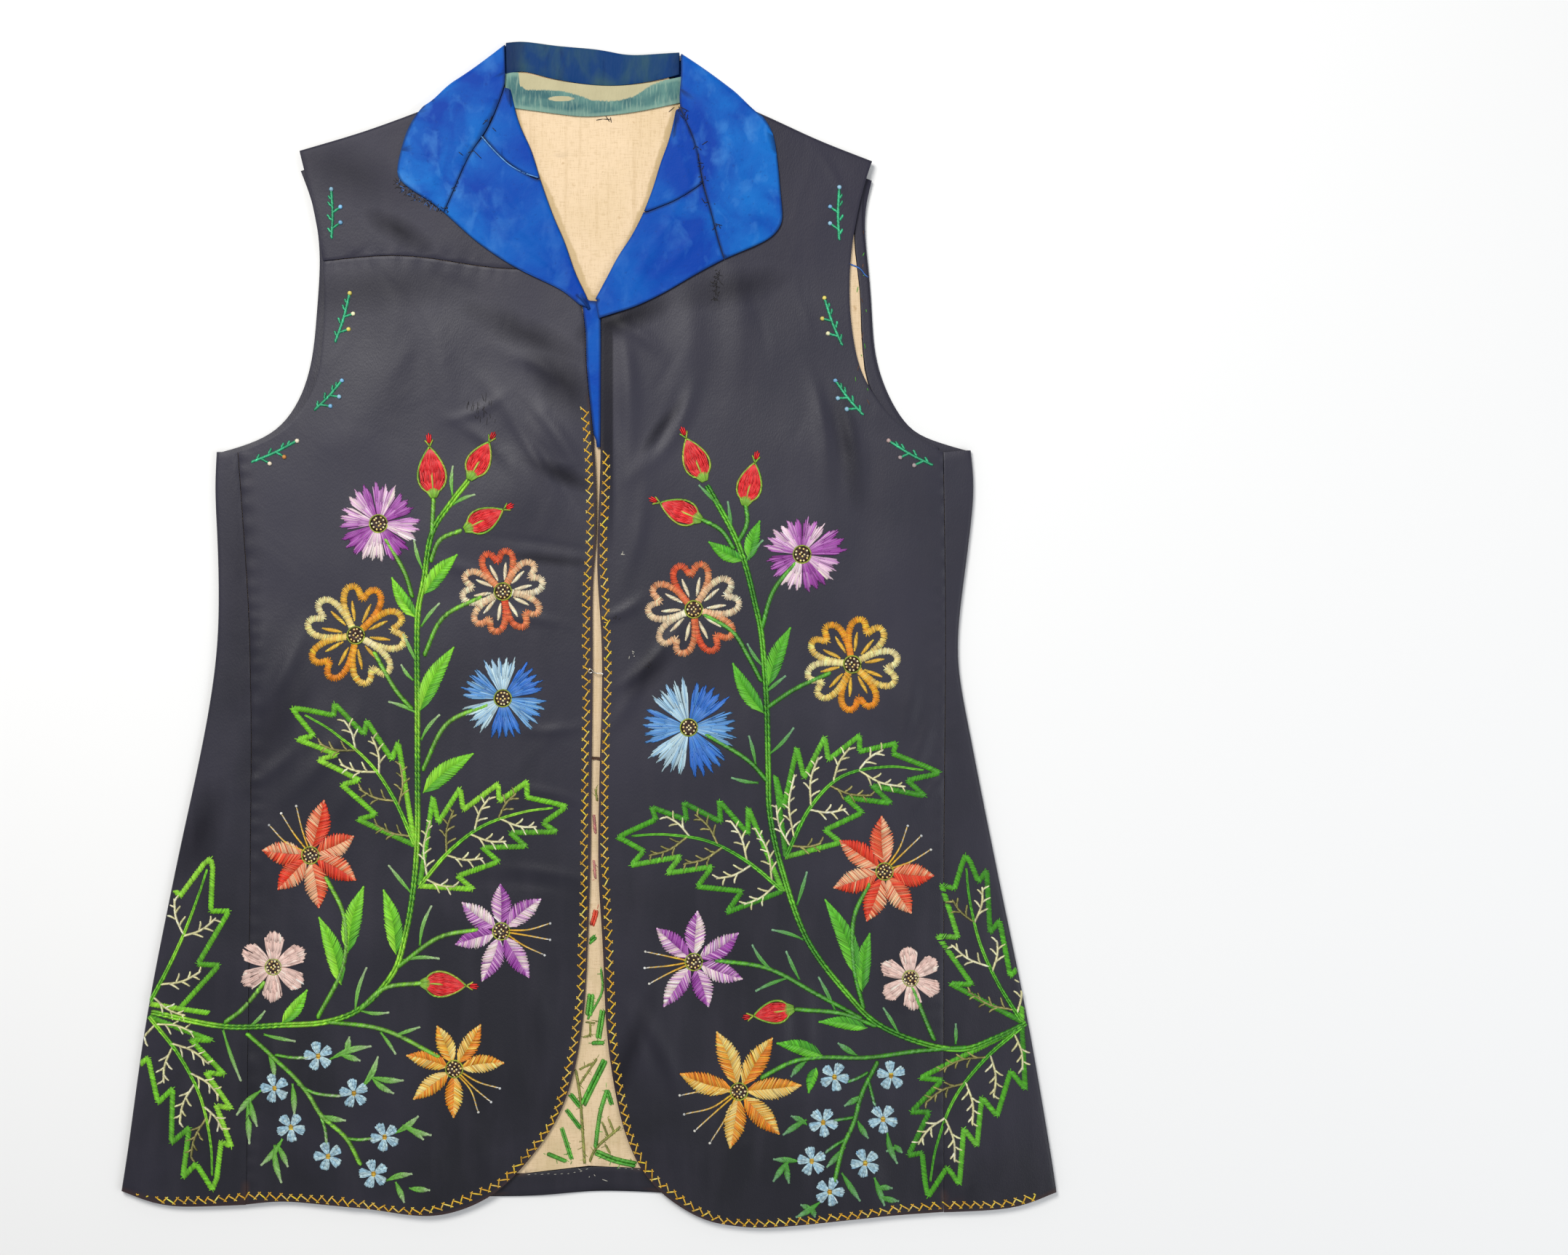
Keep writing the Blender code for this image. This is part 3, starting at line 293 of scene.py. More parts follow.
FEATHER_PITCH, FEATHER_HALF, FEATHER_THREAD = 6.4, 1.4, 1.1
# The frayed edge of the right collar fall, and a rip below the left lapel
COLLAR_FRAY = ((-119, 279), (-115, 274.5), (-109, 270.5), (-99, 266), (-91, 261.5))
RIP = ((80, 224), (78.5, 218), (79.5, 212), (78, 206))
# The pale seam across the right lapel, tufts along the collar's seams, and specks of thread on the left front
LAPEL_SEAM = ((-66, 307), (-58, 298), (-49, 289.5), (-40, 284.5), (-31, 281.5))
COLLAR_TUFTS = (
    (-88, 262), (-82, 276), (-74, 297), (-61, 316), (56, 325), (60, 318), (67, 300), (69, 290), (71, 280),
    (74, 266), (78, 252),
)
SPECKS = ((20, 49, "pale_thread"), (27, -13, "pale_thread"), (17, 10, "black_thread"),
    (38, -20, "black_thread"))
# A small black mark below the neck facing, and pale ends at the foot of the gap
NECK_MARK = (
    ((4.3, 317.6), (9, 318.3)), ((8.6, 318.2), (13.6, 318)), ((10.4, 320.2), (13, 316.4)),
    ((13.4, 319.6), (14, 315.8)),
)
HEM_ENDS = ((-4, -333), (0, -337), (3, -335), (8, -338))

# Edges of the V at the neck, along which the lining is tan
NECKLINE = (
    ((-47, 322), (-42, 303), (-30, 277), (-15, 240), (0, 206)),
    ((55.8, 327), (48.8, 303), (38.8, 270), (24.8, 236), (4.6, 204)),
)
# Below this line the neck facing still has its silk
INTERLINING_EDGE = ((-52, 356), (-44.5, 354), (-42, 336), (-36, 336.2), (-16, 335.4), (-4, 332),
    (2, 329.5), (17, 329), (28, 332), (39, 339), (56, 346))
# The long hole in the neck facing, as the shift and scale that make it a unit circle
HOLE_SHIFT, HOLE_SCALE = (2.2, -205.0, 0.0), (130.0, 620.0, 0.0)

# The wrong side of the back's embroidery, which shows on the lining in the centre gap
WRONG_SIDE = (
    ("wrong_red", 3.2, (4.5, -171), (3.4, -176), (1.6, -181)), ("wrong_rose", 1.6, (3, -112), (4, -124)),
    ("wrong_rose", 1.4, (3, -140), (4, -152)), ("wrong_green", 3.2, (-0.5, -191.5), (4.3, -187.5)),
    ("wrong_olive", 1.2, (4, -96), (5, -104)), ("wrong_green", 1.4, (7.5, -207.6), (8, -222), (-1, -239)),
    ("wrong_green", 4.2, (1.4, -223), (-0.3, -236.6)), ("wrong_green", 3.6, (8.6, -233), (5.7, -251)),
    ("wrong_green", 2.4, (1.5, -253.5), (9.6, -253.5)), ("wrong_olive", 1.2, (-3.9, -240.2), (3.9, -241.4)),
    ("wrong_olive", 1.2, (-3.9, -249.9), (0.5, -249)), ("wrong_olive", 1.2, (0.8, -240), (0.8, -250)),
    ("wrong_green", 4.0, (10, -264), (3, -278), (-3.9, -292)),
    ("wrong_olive", 1.6, (-8.8, -266.8), (-5.7, -285), (-4.5, -300), (-2.7, -328.4)),
    ("wrong_olive", 1.3, (-5.7, -279), (5.1, -263)), ("wrong_olive", 1.3, (-6, -270), (2, -266)),
    ("wrong_green", 3.0, (-11.8, -285), (-5.1, -293.4)),
    ("wrong_green", 2.6, (-14.2, -294.6), (-5.1, -306.6)), ("wrong_green", 2.6, (-17, -306), (-10.6, -326)),
    ("wrong_green", 2.4, (-26, -322), (-14, -327)),
    ("wrong_green", 2.4, (11.2, -282.5), (6.9, -297), (3.9, -318.7)),
    ("wrong_green", 2.8, (11.2, -282.5), (14.2, -292.1)),
    ("wrong_olive", 1.5, (0.3, -327.2), (5, -318), (19.6, -305.4)),
    ("wrong_olive", 1.2, (8, -302), (12, -312)), ("wrong_olive", 1.2, (12, -300), (15.5, -309)),
    ("wrong_olive", 1.2, (10, -316), (13, -322)), ("wrong_green", 4.0, (3.9, -321), (16, -326), (29, -329)),
)

# Floss in the colours that it shows, as red, green and blue out of 255
FLOSS = {
    "stem": ((158, 220, 60), (122, 196, 44), (70, 144, 36)),
    "branch": ((104, 182, 42), (130, 182, 88), (138, 212, 56)),
    "twig": ((96, 176, 44), (126, 184, 88), (176, 196, 156)),
    "satin_leaf": ((166, 230, 60), (126, 212, 44), (58, 140, 36)),
    "jagged_leaf": ((166, 228, 66), (130, 212, 44), (96, 176, 40)),
    "vein": ((244, 238, 200), (226, 220, 160)),
    "vein_olive": ((178, 170, 104), (128, 124, 64)),
    "purple_aster": ((250, 234, 226), (222, 182, 214), (182, 104, 186), (148, 56, 152)),
    "gold": ((244, 146, 28), (248, 184, 50), (248, 224, 140), (250, 236, 180)),
    "gold_stripe": ((246, 204, 84), (238, 184, 56)),
    "salmon": ((228, 88, 50), (232, 142, 88), (246, 210, 168), (248, 236, 204)),
    "salmon_stripe": ((255, 244, 214), (246, 224, 184)),
    "cornflower": ((46, 112, 204), (96, 156, 212), (196, 222, 230)),
    "red_lily": ((230, 58, 30), (240, 112, 66), (250, 200, 158)),
    "purple_lily": ((160, 66, 168), (208, 154, 208), (252, 234, 226)),
    "gold_lily": ((236, 134, 26), (246, 184, 60), (248, 220, 140)),
    "pale_pink": ((244, 214, 202), (232, 196, 184), (252, 230, 220)),
    "forget_me_not": ((158, 196, 214), (200, 224, 226), (120, 168, 204)),
    "bud": ((232, 38, 44), (214, 30, 38), (242, 72, 66)),
    "bud_green": ((176, 190, 70), (118, 178, 50)),
    "centre": ((58, 28, 20), (44, 22, 18), (76, 40, 24)),
    "centre_ring": ((170, 186, 60), (140, 158, 50)),
    "knot": ((255, 236, 180), (250, 216, 130)),
    "stamen": ((236, 180, 40), (232, 186, 80), (220, 214, 200)),
    "stamen_tip": ((226, 224, 214), (204, 206, 204)),
    "knot_blue": ((120, 176, 214), (150, 196, 220)),
    "knot_yellow": ((236, 220, 110), (240, 236, 190)),
    "knot_orange": ((226, 150, 70), (236, 222, 196)),
    "knot_rose": ((196, 168, 164), (176, 160, 160)),
    "sprig": ((64, 196, 140), (44, 160, 112)),
    "feather": ((252, 202, 62), (240, 180, 44), (255, 222, 120)),
    "wrong_green": ((70, 160, 44), (104, 182, 66)),
    "wrong_olive": ((156, 160, 80), (130, 136, 60)),
    "wrong_red": ((232, 80, 48), (206, 66, 46)),
    "wrong_rose": ((220, 150, 140), (200, 120, 120)),
    "black_thread": ((26, 22, 26), (36, 30, 32)),
    "brown_thread": ((92, 58, 40), (110, 72, 48)),
    "pale_thread": ((226, 222, 206), (204, 200, 186)),
    "blue_thread": ((52, 110, 196), (70, 130, 206)),
    "pale_blue_thread": ((110, 170, 226), (84, 144, 210)),
    "orange_thread": ((232, 120, 40), (214, 100, 36)),
}

# The green on the left front is deeper
SHADED_GREEN = (0.72, 0.88, 0.86)
GREEN_FLOSS = ("stem", "branch", "twig", "satin_leaf", "jagged_leaf")

CAMERA_PLACE, CAMERA_HEIGHT, CAMERA_LENS = (0.1208, 0.0038), 1.352, 50.0


def ease(share):
    share = np.clip(share, 0.0, 1.0)
    return share * share * (3 - 2 * share)


def linear(colour):
    """Scene-linear values of a display colour out of 255."""
    share = np.asarray(colour, float) / 255
    return np.where(share <= 0.04045, share / 12.92, ((share + 0.055) / 1.055) ** 2.4)


def rows_of(columns, table):
    return [dict(zip(columns, row)) for row in table]


# How the cloth lies

# A sheet's rounded rim, and how far in from it the cloth looks worn, and on the blue silk also gets painted
# shade
RIM_WIDTH, RIM_SEGMENTS, RIM_REACH = 0.3, 2, 4.0


def wrinkled(x, y, wrinkles):
    """The height that a table of wrinkles adds at places x, y."""
    total = np.zeros_like(x)
    for wrinkle in rows_of(WRINKLE_COLUMNS, wrinkles):
        angle = math.radians(wrinkle["heading"])
        dx, dy = x - wrinkle["x"], y - wrinkle["y"]
        along = (dx * math.cos(angle) + dy * math.sin(angle)) / wrinkle["length"]
        across = (dx * math.sin(angle) - dy * math.cos(angle)) / wrinkle["width"] + 0.5 * along ** 2
        total += wrinkle["rise"] * np.exp(-along ** 2 - across ** 2)
    return total


def small_wrinkles():
    """Short soft creases all over the fronts, none like the next."""
    x = RNG.uniform(-270, 270, SMALL_WRINKLES)
    y = RNG.uniform(-350, 300, SMALL_WRINKLES)
    heading = RNG.normal(90, 34, SMALL_WRINKLES)
    length = RNG.uniform(9, 30, SMALL_WRINKLES)
    width = RNG.uniform(1.8, 5.0, SMALL_WRINKLES)
    rise = RNG.uniform(-0.2, 0.28, SMALL_WRINKLES)
    return np.column_stack((x, y, heading, length, width, rise))


def waves():
    """Directions, lengths and starts of the slow unevenness of handled cloth."""
    count = 12
    return RNG.uniform(0, 2 * math.pi, count), RNG.uniform(26, 95, count), RNG.uniform(0, 2 * math.pi, count)


ALL_WRINKLES = np.vstack((np.array(WRINKLES, float), small_wrinkles()))
WAVES = waves()


def distance_to(line, x, y):
    """Distance from places x, y to a line of points, and how far along it the nearest place is."""
    best, where, run = np.full_like(x, 1e9), np.zeros_like(x), 0.0
    for (x0, y0), (x1, y1) in zip(line, line[1:]):
        length = math.hypot(x1 - x0, y1 - y0)
        share = np.clip(((x - x0) * (x1 - x0) + (y - y0) * (y1 - y0)) / length ** 2, 0, 1)
        far = np.hypot(x - x0 - share * (x1 - x0), y - y0 - share * (y1 - y0))
        nearer = far < best
        best, where = np.where(nearer, far, best), np.where(nearer, run + share * length, where)
        run += length
    return best, where


def front_relief(x, y):
    """Wrinkles, unevenness and puckers of what lies on top, less at the folded sides and shoulders."""
    total = wrinkled(x, y, ALL_WRINKLES) * RELIEF_GAIN
    for angle, length, start in zip(*WAVES):
        total += 0.06 * np.sin((x * math.cos(angle) + y * math.sin(angle)) * 2 * math.pi / length + start)
    for seam in PUCKERED_SEAMS:
        far, along = distance_to(seam, x, y)
        wave = np.sin(along * 2 * math.pi / PUCKER_PITCH + np.sin(along / 17) * 2)
        total += PUCKER_RISE * (wave - 0.8) * np.exp(-((far / PUCKER_REACH) ** 2))
    softness = 0.2
    total = RELIEF_FLOOR + softness * np.logaddexp(0, (total - RELIEF_FLOOR) / softness)
    folds = (np.array(fold).T[::-1] * [[-1], [1]] for fold in (SIDE_FOLD_RIGHT, SIDE_FOLD_LEFT))
    right, left = (np.interp(-y, *fold) for fold in folds)
    room = np.where(y < ARMHOLE_FOOT, np.minimum(x - right, left - x), 99.0)
    shoulder = SHOULDER_TOP - (np.abs(x) - NECK_SIDE) * SHOULDER_SLOPE - y
    return total * ease(room / SIDE_EASE) * ease(shoulder / SHOULDER_EASE)


def inner_relief(x, y):
    return wrinkled(x, y, LINING_WRINKLES)


def lapel_relief(x, y):
    return front_relief(x, y) + wrinkled(x, y, LAPEL_WRINKLES) * ease((330 - y) / 24)


RELIEF = {"back_lining": inner_relief, "back": front_relief, "collar": lapel_relief}


def relief_of(node):
    if node.startswith("lapel"):
        return lapel_relief
    if node.startswith("front"):
        return front_relief
    return RELIEF.get(node)


def gridded(shape):
    """The lining's flat face is cut to a grid where it shows, so that it can crease."""
    cuts = [((x * MM, 0, 0), (1, 0, 0)) for x in range(-60, 61, 5)]
    cuts += [((0, y * MM, 0), (0, 1, 0)) for y in range(-330, 350, 6)]
    for place, way in cuts:
        everything = shape.verts[:] + shape.edges[:] + shape.faces[:]
        bmesh.ops.bisect_plane(shape, geom=everything, dist=1e-7, plane_co=place, plane_no=way)


def merged_copy(node, levels):
    """The node's mesh with its corners joined, its sharp edges creased and its forms smoothed."""
    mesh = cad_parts[node].data.copy()
    mesh.materials.clear()
    shape = bmesh.new()
    shape.from_mesh(mesh)
    bmesh.ops.remove_doubles(shape, verts=shape.verts, dist=1e-6)
    if not levels:
        gridded(shape)
    bmesh.ops.join_triangles(
        shape,
        faces=shape.faces,
        angle_face_threshold=math.radians(30),
        angle_shape_threshold=math.radians(60),
    )
    crease = shape.edges.layers.float.get("crease_edge") or shape.edges.layers.float.new("crease_edge")
    for edge in shape.edges:
        edge[crease] = 1.0 if edge.calc_face_angle(math.pi) > math.radians(55) else 0.0
    shape.to_mesh(mesh)
    shape.free()
    piece = bpy.data.objects.new(node + "_cloth", mesh)
    bpy.context.scene.collection.objects.link(piece)
    if levels:
        smooth = piece.modifiers.new("Soft", "SUBSURF")
        smooth.levels = smooth.render_levels = levels
    rim = piece.modifiers.new("Rim", "BEVEL")
    rim.width, rim.segments = RIM_WIDTH * MM, RIM_SEGMENTS
    rim.limit_method, rim.angle_limit = "ANGLE", math.radians(60)
    evaluated = piece.evaluated_get(bpy.context.evaluated_depsgraph_get())
    piece.data = bpy.data.meshes.new_from_object(evaluated)
    piece.modifiers.clear()
    return piece


def mark_rim(piece):
    """A point attribute that says how near the cloth is to its rim: 1 on it, 0 from RIM_REACH inwards."""
    shape = bmesh.new()
    shape.from_mesh(piece.data)
    rim = [edge.verts[0].co.copy() for edge in shape.edges if edge.calc_face_angle(0.0) > math.radians(28)]
    shape.free()
    tree = KDTree(len(rim))
    for i, place in enumerate(rim):
        tree.insert(place, i)
    tree.balance()
    far = np.array([tree.find(vert.co)[2] if rim else 1.0 for vert in piece.data.vertices]) / MM
    rim_mask = piece.data.attributes.new("NearRim", "FLOAT", "POINT")
    rim_mask.data.foreach_set("value", (1 - ease(far / RIM_REACH)).astype(np.float32))


def mark_lines(piece, node):
    """A point attribute of the distance, in millimetres, to the lines that the node's look changes along."""
    x, y = (np.array([vert.co[k] for vert in piece.data.vertices]) / MM for k in (0, 1))
    if node == "neck_facing":
        far = np.interp(x, *np.array(INTERLINING_EDGE).T) - y
    else:
        lines = NECKLINE if node == "back_lining" else (FEATHER_RIGHT, FEATHER_LEFT)
        far = np.min([distance_to(line, x, y)[0] for line in lines], axis=0)
    piece.data.attributes.new("Line", "FLOAT", "POINT").data.foreach_set("value", far.astype(np.float32))


def eased_into_place(node, x, y):
    """How far the copy of a node moves, so that it closes up with its neighbours or runs smoothly on."""
    move_x, move_y = np.zeros_like(x), np.zeros_like(y)
    if node == "collar":
        for corner_x, corner_y, way_x, way_y in ROLL_ENDS:
            away = (x - corner_x) * -way_y + (y - corner_y) * way_x
            away *= math.copysign(1.0, way_x)
            inwards = (corner_x - x) * way_x + (corner_y - y) * way_y
            near = np.abs(x - corner_x) < ROLL_TAPER
            pull = np.maximum(away, 0) * (1 - ease(inwards / ROLL_TAPER)) * near
            move_x += pull * way_y * math.copysign(1.0, way_x)
            move_y -= pull * abs(way_x)
    elif node == "front_facing_right":
        top = ease((y - 184) / 20)
        move_x, move_y = np.where(x < np.mean(x), -3.2 * top, 1.0), 9.0 * top
    elif node == "neck_facing":
        move_x = 0.09 * (x - np.mean(x))
    return move_x, move_y


def lay_cloth(row, look):
    piece = merged_copy(row["node"], row["levels"])
    relief = relief_of(row["node"])
    co = np.zeros(len(piece.data.vertices) * 3, np.float32)
    piece.data.vertices.foreach_get("co", co)
    co = co.reshape(-1, 3)
    x, y, z = co.T.astype(float) / MM
    if relief:
        top_only = ease((z - 2.4) / 1.4) if row["node"] in ("back", "collar") else 1.0
        co[:, 2] += (relief(x, y) * top_only * MM).astype(np.float32)
    move_x, move_y = eased_into_place(row["node"], x, y)
    co[:, 0] += (move_x * MM).astype(np.float32)
    co[:, 1] += (move_y * MM).astype(np.float32)
    piece.data.vertices.foreach_set("co", co.ravel())
    piece.data.shade_smooth()
    piece.data.materials.append(look)
    mark_rim(piece)
    mark_lines(piece, row["node"])
    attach(piece, "root")
    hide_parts(row["node"])
    return piece


# Sewing


class Work:
    """Stitches and knots gathered for one piece of embroidery."""

    def __init__(self, name, low=3.6, high=99.0, tone=(1, 1, 1)):
        self.name, self.low, self.high, self.tone = name, low, high, np.array(tone)
        self.stitches, self.knots = [], []

    def sew(self, start, end, width, floss, share=None, lift=0.0):
        """One stitch. share picks the floss's shade from its first to its last, or else any."""
        shades = FLOSS[floss]
        share = RNG.random() if share is None else min(max(share + RNG.normal(0, 0.06), 0.0), 1.0)
        place = share * (len(shades) - 1)
        first = min(int(place), len(shades) - 2)
        mixed = np.array(shades[first]) * (1 - place + first) + np.array(shades[first + 1]) * (place - first)
        tone = self.tone if floss in GREEN_FLOSS else 1.0
        mixed = mixed * tone * RNG.normal(1.0, 0.08)
        self.stitches.append((start, end, width, np.clip(mixed, 0, 255), lift))

    def knot(self, place, radius, floss, lift=0.0):
        colour = np.array(FLOSS[floss][RNG.integers(len(FLOSS[floss]))]) * RNG.normal(1.0, 0.05)
        self.knots.append((place, radius, np.clip(colour, 0, 255), lift))


class Ground:
    """The upper side of the finished cloth, which stitches lie on."""

    def __init__(self, pieces):
        shape = bmesh.new()
        for piece in pieces:
            shape.from_mesh(piece.data)
        self.tree = BVHTree.FromBMesh(shape)
        shape.free()

    def heights(self, places):
        """Height in millimetres at each place, and nan off the cloth."""
        found = np.full(len(places), np.nan)
        down = Vector((0, 0, -1))
        for i, place in enumerate(places):
            hit = self.tree.ray_cast(Vector((place.real * MM, place.imag * MM, 0.1)), down)[0]
            if hit is not None:
                found[i] = hit.z / MM
        return found


STITCH_RINGS = (0.1, 0.5, 0.9)
STITCH_SIDES = 3
STITCH_HEIGHT = 0.5
SINK = 0.12


def stitch_faces():
    """Triangles of one stitch: two tips, numbered 0 and 1, and the rings between them."""
    faces = []
    ring = [[2 + STITCH_SIDES * r + s for s in range(STITCH_SIDES)] for r in range(len(STITCH_RINGS))]
    for s in range(STITCH_SIDES):
        n = (s + 1) % STITCH_SIDES
        faces += [(0, ring[0][n], ring[0][s]), (1, ring[-1][s], ring[-1][n])]
        for a, b in zip(ring, ring[1:]):
            faces += [(a[s], a[n], b[n]), (a[s], b[n], b[s])]
    return np.array(faces)


def stitch_arrays(work, ground):
    """Points, triangles, colours and (along, across) values of all of a work's stitches."""
    start, end, width, colour, lift = (np.array(column) for column in zip(*work.stitches))
    height = [ground.heights(places) for places in (start, (start + end) / 2, end)]
    kept = np.ones(len(start), bool)
    for level in height:
        kept &= np.nan_to_num(level, nan=-1.0) > work.low
        kept &= np.nan_to_num(level, nan=999.0) < work.high
    start, end, width, colour, lift = start[kept], end[kept], width[kept], colour[kept], lift[kept]
    height = [level[kept] for level in height]
    way = (end - start) / np.maximum(np.abs(end - start), 1e-6)
    side = way * 1j
    lift = lift + RNG.normal(0.0, 0.035, len(start))
    columns, uv = [], [(0.0, 0.5), (1.0, 0.5)]
    for place, level in ((start, height[0]), (end, height[2])):
        columns.append(np.column_stack((place.real, place.imag, level - SINK)))
    for share in STITCH_RINGS:
        centre = start + (end - start) * share
        first = 0 if share <= 0.5 else 1
        part = share * 2 - first
        level = height[first] * (1 - part) + height[first + 1] * part
        full = 1.0 if share == 0.5 else 0.72
        for s in range(STITCH_SIDES):
            across = s / (STITCH_SIDES - 1) * 2 - 1
            place = centre + side * across * width / 2 * full
            crown = width * STITCH_HEIGHT * (1 - abs(across)) * (1.0 if share == 0.5 else 0.8)
            rise = crown + lift - SINK * abs(across)
            columns.append(np.column_stack((place.real, place.imag, level + rise)))
            uv.append((share, (across + 1) / 2))
    points = np.stack(columns, 1).reshape(-1, 3)
    each = 2 + STITCH_SIDES * len(STITCH_RINGS)
    count = len(start)
    faces = (stitch_faces()[None] + (np.arange(count) * each)[:, None, None]).reshape(-1, 3)
    return points, faces, np.repeat(linear(colour), each, 0), np.tile(np.array(uv), (count, 1))


KNOT_SIDES = 7


def knot_arrays(work, ground):
    """Points, triangles, colours and values of all of a work's French knots: small uneven domes."""
    place, radius, colour, lift = (np.array(column) for column in zip(*work.knots))
    level = ground.heights(place)
    kept = np.nan_to_num(level, nan=-1.0) > work.low
    place, radius, colour, lift, level = place[kept], radius[kept], colour[kept], lift[kept], level[kept]
    columns = [np.column_stack((place.real, place.imag, level + lift + radius * 0.9))]
    for size, rise in ((0.72, 0.68), (1.0, 0.1)):
        for k in range(KNOT_SIDES):
            way = cmath.exp(2j * math.pi * k / KNOT_SIDES)
            turned = place + radius * size * way * RNG.normal(1, 0.06, len(place))
            columns.append(np.column_stack((turned.real, turned.imag, level + lift + radius * rise - 0.05)))
    columns.append(np.column_stack((place.real, place.imag, level - SINK)))
    faces, last = [], 1 + 2 * KNOT_SIDES
    for k in range(KNOT_SIDES):
        n = (k + 1) % KNOT_SIDES
        upper, lower = (1 + k, 1 + n), (1 + KNOT_SIDES + k, 1 + KNOT_SIDES + n)
        faces += [(0, *upper), (upper[0], lower[0], lower[1])]
        faces += [(upper[0], lower[1], upper[1]), (last, lower[1], lower[0])]
    each, count = last + 1, len(place)
    points = np.stack(columns, 1).reshape(-1, 3)
    faces = (np.array(faces)[None] + (np.arange(count) * each)[:, None, None]).reshape(-1, 3)
    return points, faces, np.repeat(linear(colour), each, 0), np.full((len(points), 2), 0.5)


def sewn(work, ground, look):
    """One mesh of all of a work's stitches and knots."""
    parts = [stitch_arrays(work, ground)]
    if work.knots:
        parts.append(knot_arrays(work, ground))
    points, faces, colours, uvs = zip(*parts)
    faces = (faces[0], *(more + len(points[0]) for more in faces[1:]))
    points, faces, colours, uvs = (np.concatenate(column) for column in (points, faces, colours, uvs))
    mesh = bpy.data.meshes.new(work.name)
    mesh.from_pydata((points * MM).tolist(), [], faces.tolist())
    opaque = np.column_stack((colours, np.ones(len(colours)))).astype(np.float32)
    mesh.color_attributes.new("Floss", "FLOAT_COLOR", "POINT").data.foreach_set("color", opaque.ravel())
    along = mesh.uv_layers.new(name="UVMap")
    along.data.foreach_set("uv", uvs[faces.ravel()].astype(np.float32).ravel())
    mesh.shade_smooth()
    mesh.materials.append(look)
    piece = bpy.data.objects.new(work.name, mesh)
    bpy.context.scene.collection.objects.link(piece)
    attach(piece, "root")
    return piece


# Lines and stitches of the embroidery

# How many degrees a toothed petal spans, and how far from the middle it starts
ASTER_SPREAD, CORNFLOWER_SPREAD, FAN_FOOT = 41, 52, 4.5
CENTRE_RADIUS, CENTRE_KNOT = 5.4, 0.72
# Widths of a jagged leaf's outline, its midrib, its veins and their side twigs
LEAF_BAND, LEAF_MIDRIB, VEIN, VEIN_TWIG = 3.5, 2.6, 1.3, 1.15
SPRIG_STEM, SPRIG_TWIG, SPRIG_KNOT = 1.6, 1.4, 1.5
# The band that draws an outlined flower's petals
OUTLINE_BAND = 4.4


def at(x, y):
    return complex(x, y)


def curve(points, step):
    """Places every step along the smooth curve through points."""
    knots = np.array([complex(*p) if isinstance(p, tuple) else p for p in points])
    padded = np.concatenate(([2 * knots[0] - knots[1]], knots, [2 * knots[-1] - knots[-2]]))
    fine, t = [], np.linspace(0, 1, 24, endpoint=False)
    for p0, p1, p2, p3 in zip(padded, padded[1:], padded[2:], padded[3:]):
        bend = (2 * p0 - 5 * p1 + 4 * p2 - p3) * t ** 2 + (3 * p1 - p0 - 3 * p2 + p3) * t ** 3
        fine.append(0.5 * (2 * p1 + (p2 - p0) * t + bend))
    fine = np.append(np.concatenate(fine), knots[-1])
    return evenly(fine, step)


def evenly(line, step):
    """The line's places at even distances, about step apart."""
    run = np.concatenate(([0], np.cumsum(np.abs(np.diff(line)))))
    wanted = np.linspace(0, run[-1], max(int(round(run[-1] / step)), 2) + 1)
    return np.interp(wanted, run, line.real) + 1j * np.interp(wanted, run, line.imag)


def ways(line):
    way = np.gradient(line)
    return way / np.maximum(np.abs(way), 1e-9)


def wobble(size):
    return complex(*RNG.normal(0, size, 2))


def stem_stitch(work, points, width, floss, length=3.8, lift=0.05, taper=0.0, graded=False):
    """Rows of slanting stitches that overlap like a rope's strands. graded runs through the shades."""
    rows = max(1, int(round(width / 1.7)))
    line = curve(points, length * 0.5)
    way, last = ways(line), len(line) - 1
    drift = RNG.uniform(0, 2 * math.pi)
    for row in range(rows):
        off = ((row + 0.5) / rows - 0.5) * width
        for i in range(last - 1):
            shade = i / last if graded else 0.5 + 0.4 * math.sin(i * 0.16 + drift)
            # Every other stitch is a lighter or darker shade of its floss: painted light and shade of the
            # rope's twisted strands
            shade += 0.2 if i % 2 else -0.2
            thin = 1 - taper * i / last
            side = way[i] * 1j
            thick = width / rows * 1.25 * thin
            start = line[i] + side * (off * thin - thick * 0.2)
            end = line[i + 2] + way[i + 2] * 1j * (off * thin + thick * 0.2)
            work.sew(start, end, thick, floss, shade, lift)


def satin_band(work, line, width, floss, spacing=0.62, slant=0.25, lift=0.1, shade=None):
    """Close stitches across a line. shade says which shade of floss lies at each share of it."""
    line = evenly(line, spacing)
    way, last = ways(line), len(line) - 1
    for i, (place, along) in enumerate(zip(line, way)):
        reach = along * (1j + slant) * width / 2 * (RNG.normal(1, 0.05) + (0.1 if i % 3 else -0.06))
        tone = shade(i / last) if shade else i / last
        work.sew(place - reach, place + reach, spacing * 1.35, floss, tone, lift)


def fishbone(work, base, tip, half, floss, shade, bow=0.0, widest=0.85, teeth=0.08, lift=0.12):
    """A filled pointed shape of slanting stitches from its midrib. shade(side, share) picks their colour."""
    axis, length = (tip - base) / abs(tip - base), abs(tip - base)
    count = max(int(length / 0.55), 6)

    def spot(share, off):
        return base + axis * length * (share + 1j * bow * math.sin(math.pi * share)) + axis * 1j * off

    for side in (-1, 1):
        for k in range(count):
            share = (k + 0.5) / count
            ahead = min(share + 0.16 * (1 - share) + 0.03, 1.0)
            uneven = 1 + teeth * (k // 2 % 2) + RNG.normal(0, 0.04)
            reach = half * math.sin(math.pi * ahead ** widest) ** 0.9 * uneven
            inner, outer = spot(share * 0.97, -0.6 * side), spot(ahead, side * reach)
            work.sew(inner, outer, 0.95, floss, shade(side, share), lift)


def satin_leaf(work, base, tip, half):
    bow = RNG.choice((-1, 1)) * 0.05

    def shade(side, share):
        return 0.1 + 0.4 * share if side > 0 else 0.3 + 0.5 * (1 - share)

    fishbone(work, base, tip, half, "satin_leaf", shade, bow)


